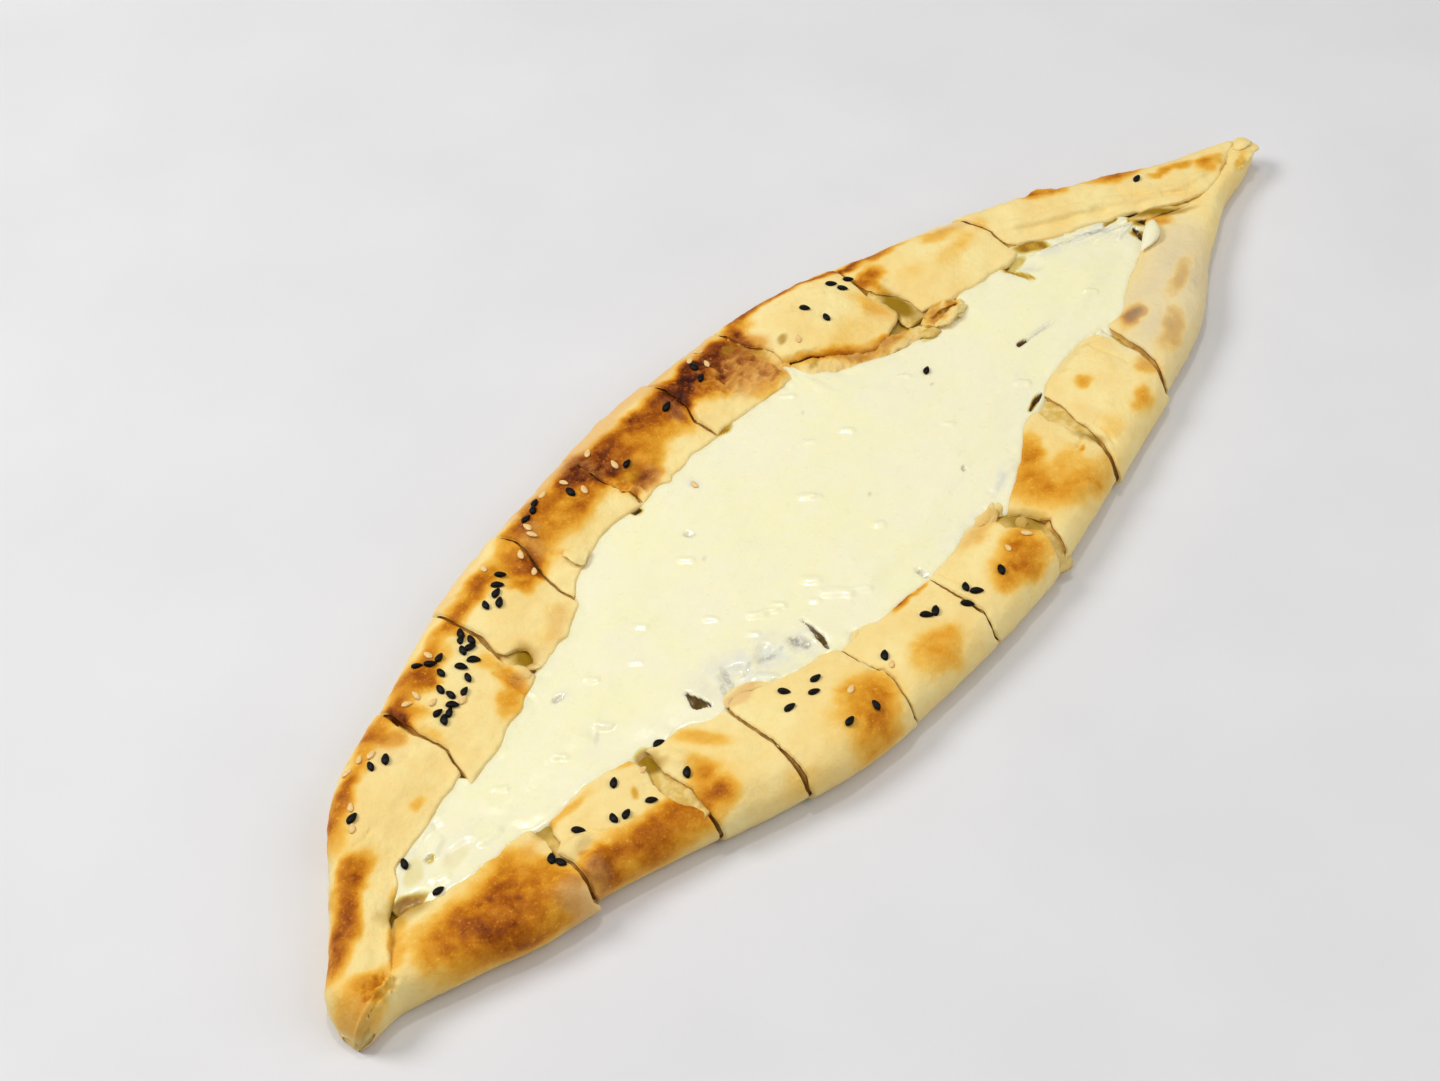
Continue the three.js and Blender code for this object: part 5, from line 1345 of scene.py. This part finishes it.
def dough_look():
    look = Look("baked_dough", Roughness=0.5, Specular_IOR_Level=0.14, Subsurface_Weight=0.08,
                Subsurface_Scale=0.002, Subsurface_Radius=(1.0, 0.55, 0.25))
    brown_and_shade, olive_and_shade, pink, pale = look.layer("tone")
    cut, within, height, _ = look.layer("kind")
    broad, mid, fine = look.noise(16, 2), look.noise(3.4, 4, 0.6), look.noise(0.7, 3, 0.6)
    # plain dough, then the beige skin of the last near flap
    base = look.blend(look.span(broad, 0.36, 0.64), (244, 214, 138), (248, 227, 158))
    base = look.blend(look.times(look.span(mid, 0.5, 0.72), 0.35), base, (241, 201, 116))
    beige = look.blend(look.span(broad, 0.4, 0.6), (232, 214, 168), (222, 204, 164))
    base = look.blend(pale, base, beige)
    # browning, with the painted shade of creases and folds, broken up by finer and finer flecks
    wobble = look.times(look.less(mid, 0.5), 0.52)
    speck = look.times(look.less(fine, 0.5), 0.3)
    amount = look.times(brown_and_shade, look.math("ADD", look.math("ADD", wobble, speck), 1.0))
    fleck = look.times(look.span(look.noise(1.1, 5, 0.75), 0.55, 0.68), 0.34)
    amount = look.times(amount, look.less(1.0, fleck))
    colour = look.blend(look.span(amount, 0.0, 0.18), base, look.ramp(amount, CRUST))
    colour = look.blend(look.times(pink, 0.85), colour, look.ramp(amount, FLESH))
    faded = look.times(look.times(pale, 0.8), look.span(amount, 0.05, 0.2))
    colour = look.blend(faded, colour, (200, 172, 126))
    # olive grease, which in the cuts and pockets is also painted shade
    colour = look.blend(look.times(olive_and_shade, 0.8), colour, (178, 134, 26))
    # crumb at the cuts, moist dough inside
    crumb = look.blend(look.span(look.noise(1.6, 4, 0.6), 0.35, 0.65), (214, 162, 66), (236, 198, 116))
    soft_cut = look.less(0.85, look.times(amount, 1.1), True)
    colour = look.blend(look.times(cut, soft_cut), colour, crumb)
    moist = look.blend(look.span(look.noise(2.6, 3), 0.38, 0.62), (212, 176, 84), (232, 204, 130))
    # the moist dough in the gaps takes the dark olive too: grease and painted shade
    moist = look.blend(olive_and_shade, moist, (152, 116, 10))
    colour = look.blend(look.times(within, 1.4, True), colour, moist)
    wall = look.times(look.less(1.0, height), 0.15)
    look.set("Base Color", look.blend(wall, colour, (226, 196, 138)))
    look.set("Roughness", look.span(mid, 0.3, 0.7, 0.42, 0.6))
    skin = look.bump(look.noise(1.6, 5, 0.65), 0.3)
    skin = look.bump(look.span(look.cells(1.5), 0.0, 0.5), 0.05, skin)
    look.set("Normal", look.bump(look.noise(0.35, 3, 0.6), 0.035, skin))
    return look.material


def labneh_look():
    look = Look("labneh", Roughness=0.3, Subsurface_Weight=0.3, Subsurface_Scale=0.004, Coat_Roughness=0.14,
                Subsurface_Radius=(1.0, 0.8, 0.5))
    oil_and_shade, grey, streak, hole = look.layer("marks")
    broad, mid = look.noise(20, 2), look.noise(4, 4, 0.6)
    base = look.blend(look.span(broad, 0.35, 0.65), (252, 244, 196), (251, 243, 206))
    base = look.blend(look.times(look.span(mid, 0.5, 0.7), 0.25), base, (250, 242, 220))
    misty = look.times(grey, look.span(look.noise(5, 4, 0.65), 0.3, 0.58))
    base = look.blend(look.times(misty, 0.9), base, (226, 226, 212))
    smudge = look.times(streak, look.span(look.noise(1.2, 4, 0.7), 0.34, 0.56))
    base = look.blend(look.times(smudge, 0.9), base, (156, 150, 134))
    # oil stains, and painted shade under the flaps, along the lips and in pockets
    grease_and_shade = look.ramp(look.times(oil_and_shade, look.span(look.noise(3, 3), 0.3, 0.7, 0.75, 1.15)), GREASE_AND_SHADE)
    base = look.blend(look.span(oil_and_shade, 0.0, 0.3), base, grease_and_shade)
    # inside of deep pits: oil-brown, with painted shade darkest at the rim
    pit_and_shade = look.blend(look.span(hole, 0.53, 0.75), (92, 62, 16), (144, 118, 62))
    look.set("Base Color", look.blend(look.span(hole, 0.46, 0.53), base, pit_and_shade))
    look.set("Roughness", look.span(mid, 0.3, 0.7, 0.24, 0.42))
    look.set("Coat Weight", look.span(oil_and_shade, 0.4, 0.8, 0.9, 0.2))
    creamy = look.bump(look.noise(7, 3, 0.5, (1, 1.6, 1)), 0.35)
    look.set("Normal", look.bump(look.noise(1.5, 4, 0.6), 0.06, creamy))
    return look.material


def plain_look(name, low, high, cloud, spread, bumps, **sockets):
    """Two near colours in clouds, with fine bumps."""
    look = Look(name, **sockets)
    look.set("Base Color", look.blend(look.span(look.noise(*cloud), *spread), low, high))
    look.set("Normal", look.bump(look.noise(*bumps[:3]), bumps[3]))
    return look.material


def search_tree(verts, faces):
    polygons = [tuple(face) for part in faces for face in part.tolist()]
    return BVHTree.FromPolygons([tuple(v) for v in verts], polygons)


def joined(pieces):
    """One mesh of several: all the vertices, and a list of each kind of face."""
    starts = np.cumsum([0] + [len(piece[0]) for piece in pieces])
    verts = np.concatenate([piece[0] for piece in pieces])
    kinds = ([piece[k] + start for piece, start in zip(pieces, starts) if len(piece[k])] for k in (1, 2))
    return verts, [np.concatenate(kind) for kind in kinds if kind]


def drop_on_bread(x, y):
    """Highest point of the bread over (x, y) and the way up for a seed there."""
    best = (Vector((x, y, 0)), Vector((0, 0, 1)))
    for tree in trees:
        place, normal, _, _ = tree.ray_cast(Vector((x, y, 40)), Vector((0, 0, -1)))
        if place is not None and place.z > best[0].z:
            best = (place, normal if normal.z > 0 else -normal)
    place, normal = best
    return place, (normal + Vector((0, 0, SEED_LIFT))).normalized()


def add_floor():
    half = FLOOR_SIDE / 2 / MM
    corners = [(-half, -half, 0), (half, -half, 0), (half, half, 0), (-half, half, 0)]
    obj = mesh_object("floor", corners, [np.array([[0, 1, 2, 3]])])
    obj.location.z = -FLOOR_GAP
    obj.data.materials.append(plain_look("pale_floor", (221, 220, 221), (226, 225, 226), (60, 3), (0.3, 0.7),
                                         (1.4, 4, 0.6, 0.03), Roughness=0.6))


def add_light(name, place, size, power):
    data = bpy.data.lights.new(name, "AREA")
    data.shape = "DISK"
    data.size = size
    data.energy = power
    obj = bpy.data.objects.new(name, data)
    bpy.context.scene.collection.objects.link(obj)
    obj.location = place
    obj.rotation_euler = (Vector() - Vector(place)).to_track_quat("-Z", "Y").to_euler()


def add_world():
    world = bpy.data.worlds.new("soft")
    bpy.context.scene.world = world
    world.use_nodes = True
    background = world.node_tree.nodes["Background"]
    background.inputs["Color"].default_value = (1, 1, 1, 1)
    background.inputs["Strength"].default_value = WORLD_LIGHT


def add_camera():
    data = bpy.data.cameras.new("camera")
    data.sensor_width = SENSOR
    data.lens = SENSOR * FOCAL_PIXELS / PHOTO_WIDTH
    data.clip_start = 0.01
    camera = bpy.data.objects.new("camera", data)
    bpy.context.scene.collection.objects.link(camera)
    right, down, forward = camera_axes()
    axes = Matrix([right, -down, -forward]).transposed().to_4x4()
    camera.matrix_world = Matrix.Translation(Vector(CAMERA_PLACE) * MM) @ axes
    bpy.context.scene.camera = camera


dough, cream = dough_look(), labneh_look()
trees = []
for index in range(len(CUTS) + 1):
    skins, quads, cut, within = build_slice(index)
    parts, cut, within = [(skins, quads, [])], [cut], [within]
    for number, (owner, form, thick, points) in enumerate(STRIPS):
        if owner == index + 1:
            parts.append(build_strip(form, thick, points, 700 + number))
            cut.append(np.zeros(len(parts[-1][0])))
            within.append(np.full(len(parts[-1][0]), MOISTURE[form]))
    verts, faces = joined(parts)
    layers = dough_layers(verts, np.concatenate(cut), np.concatenate(within))
    piece = mesh_object(f"dough_slice_{index + 1}", verts, faces, layers)
    piece.data.materials.append(dough)
    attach(piece, "root")
    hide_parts(f"bread_slice_{index + 1}")
    trees.append(search_tree(verts, faces))

filling, drop = build_filling(), build_drop()
verts, faces = joined([filling[:3], drop])
marks = np.concatenate([filling[3], np.zeros((len(drop[0]), 4))])
labneh = mesh_object("labneh_filling", verts, faces, {"marks": marks})
labneh.data.materials.append(cream)
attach(labneh, "root")
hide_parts("filling")
trees.append(search_tree(verts, faces))

nigella = plain_look("nigella", (3, 2, 3), (16, 11, 10), (0.8, 4, 0.6), (0.35, 0.65), (0.3, 4, 0.6, 0.04),
                     Roughness=0.5, Specular_IOR_Level=0.14)
sesame = plain_look("sesame", (228, 186, 112), (242, 208, 144), (0.8, 4, 0.6), (0.35, 0.65),
                    (0.3, 4, 0.6, 0.04), Roughness=0.45, Specular_IOR_Level=0.4)
for kind, places, look in (("dark", DARK_SEEDS, nigella), ("pale", PALE_SEEDS, sesame)):
    rand = np.random.default_rng(40 + len(places))
    seeds = [seed_mesh(kind, x, y, math.radians(turn), rand) for x, y, turn in places]
    piece = mesh_object(f"{kind}_seeds", *joined(seeds))
    piece.data.materials.append(look)
    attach(piece, "root")

add_floor()
for light in LIGHTS:
    add_light(*light)
add_world()
bpy.context.scene.view_settings.view_transform = "Standard"
add_camera()
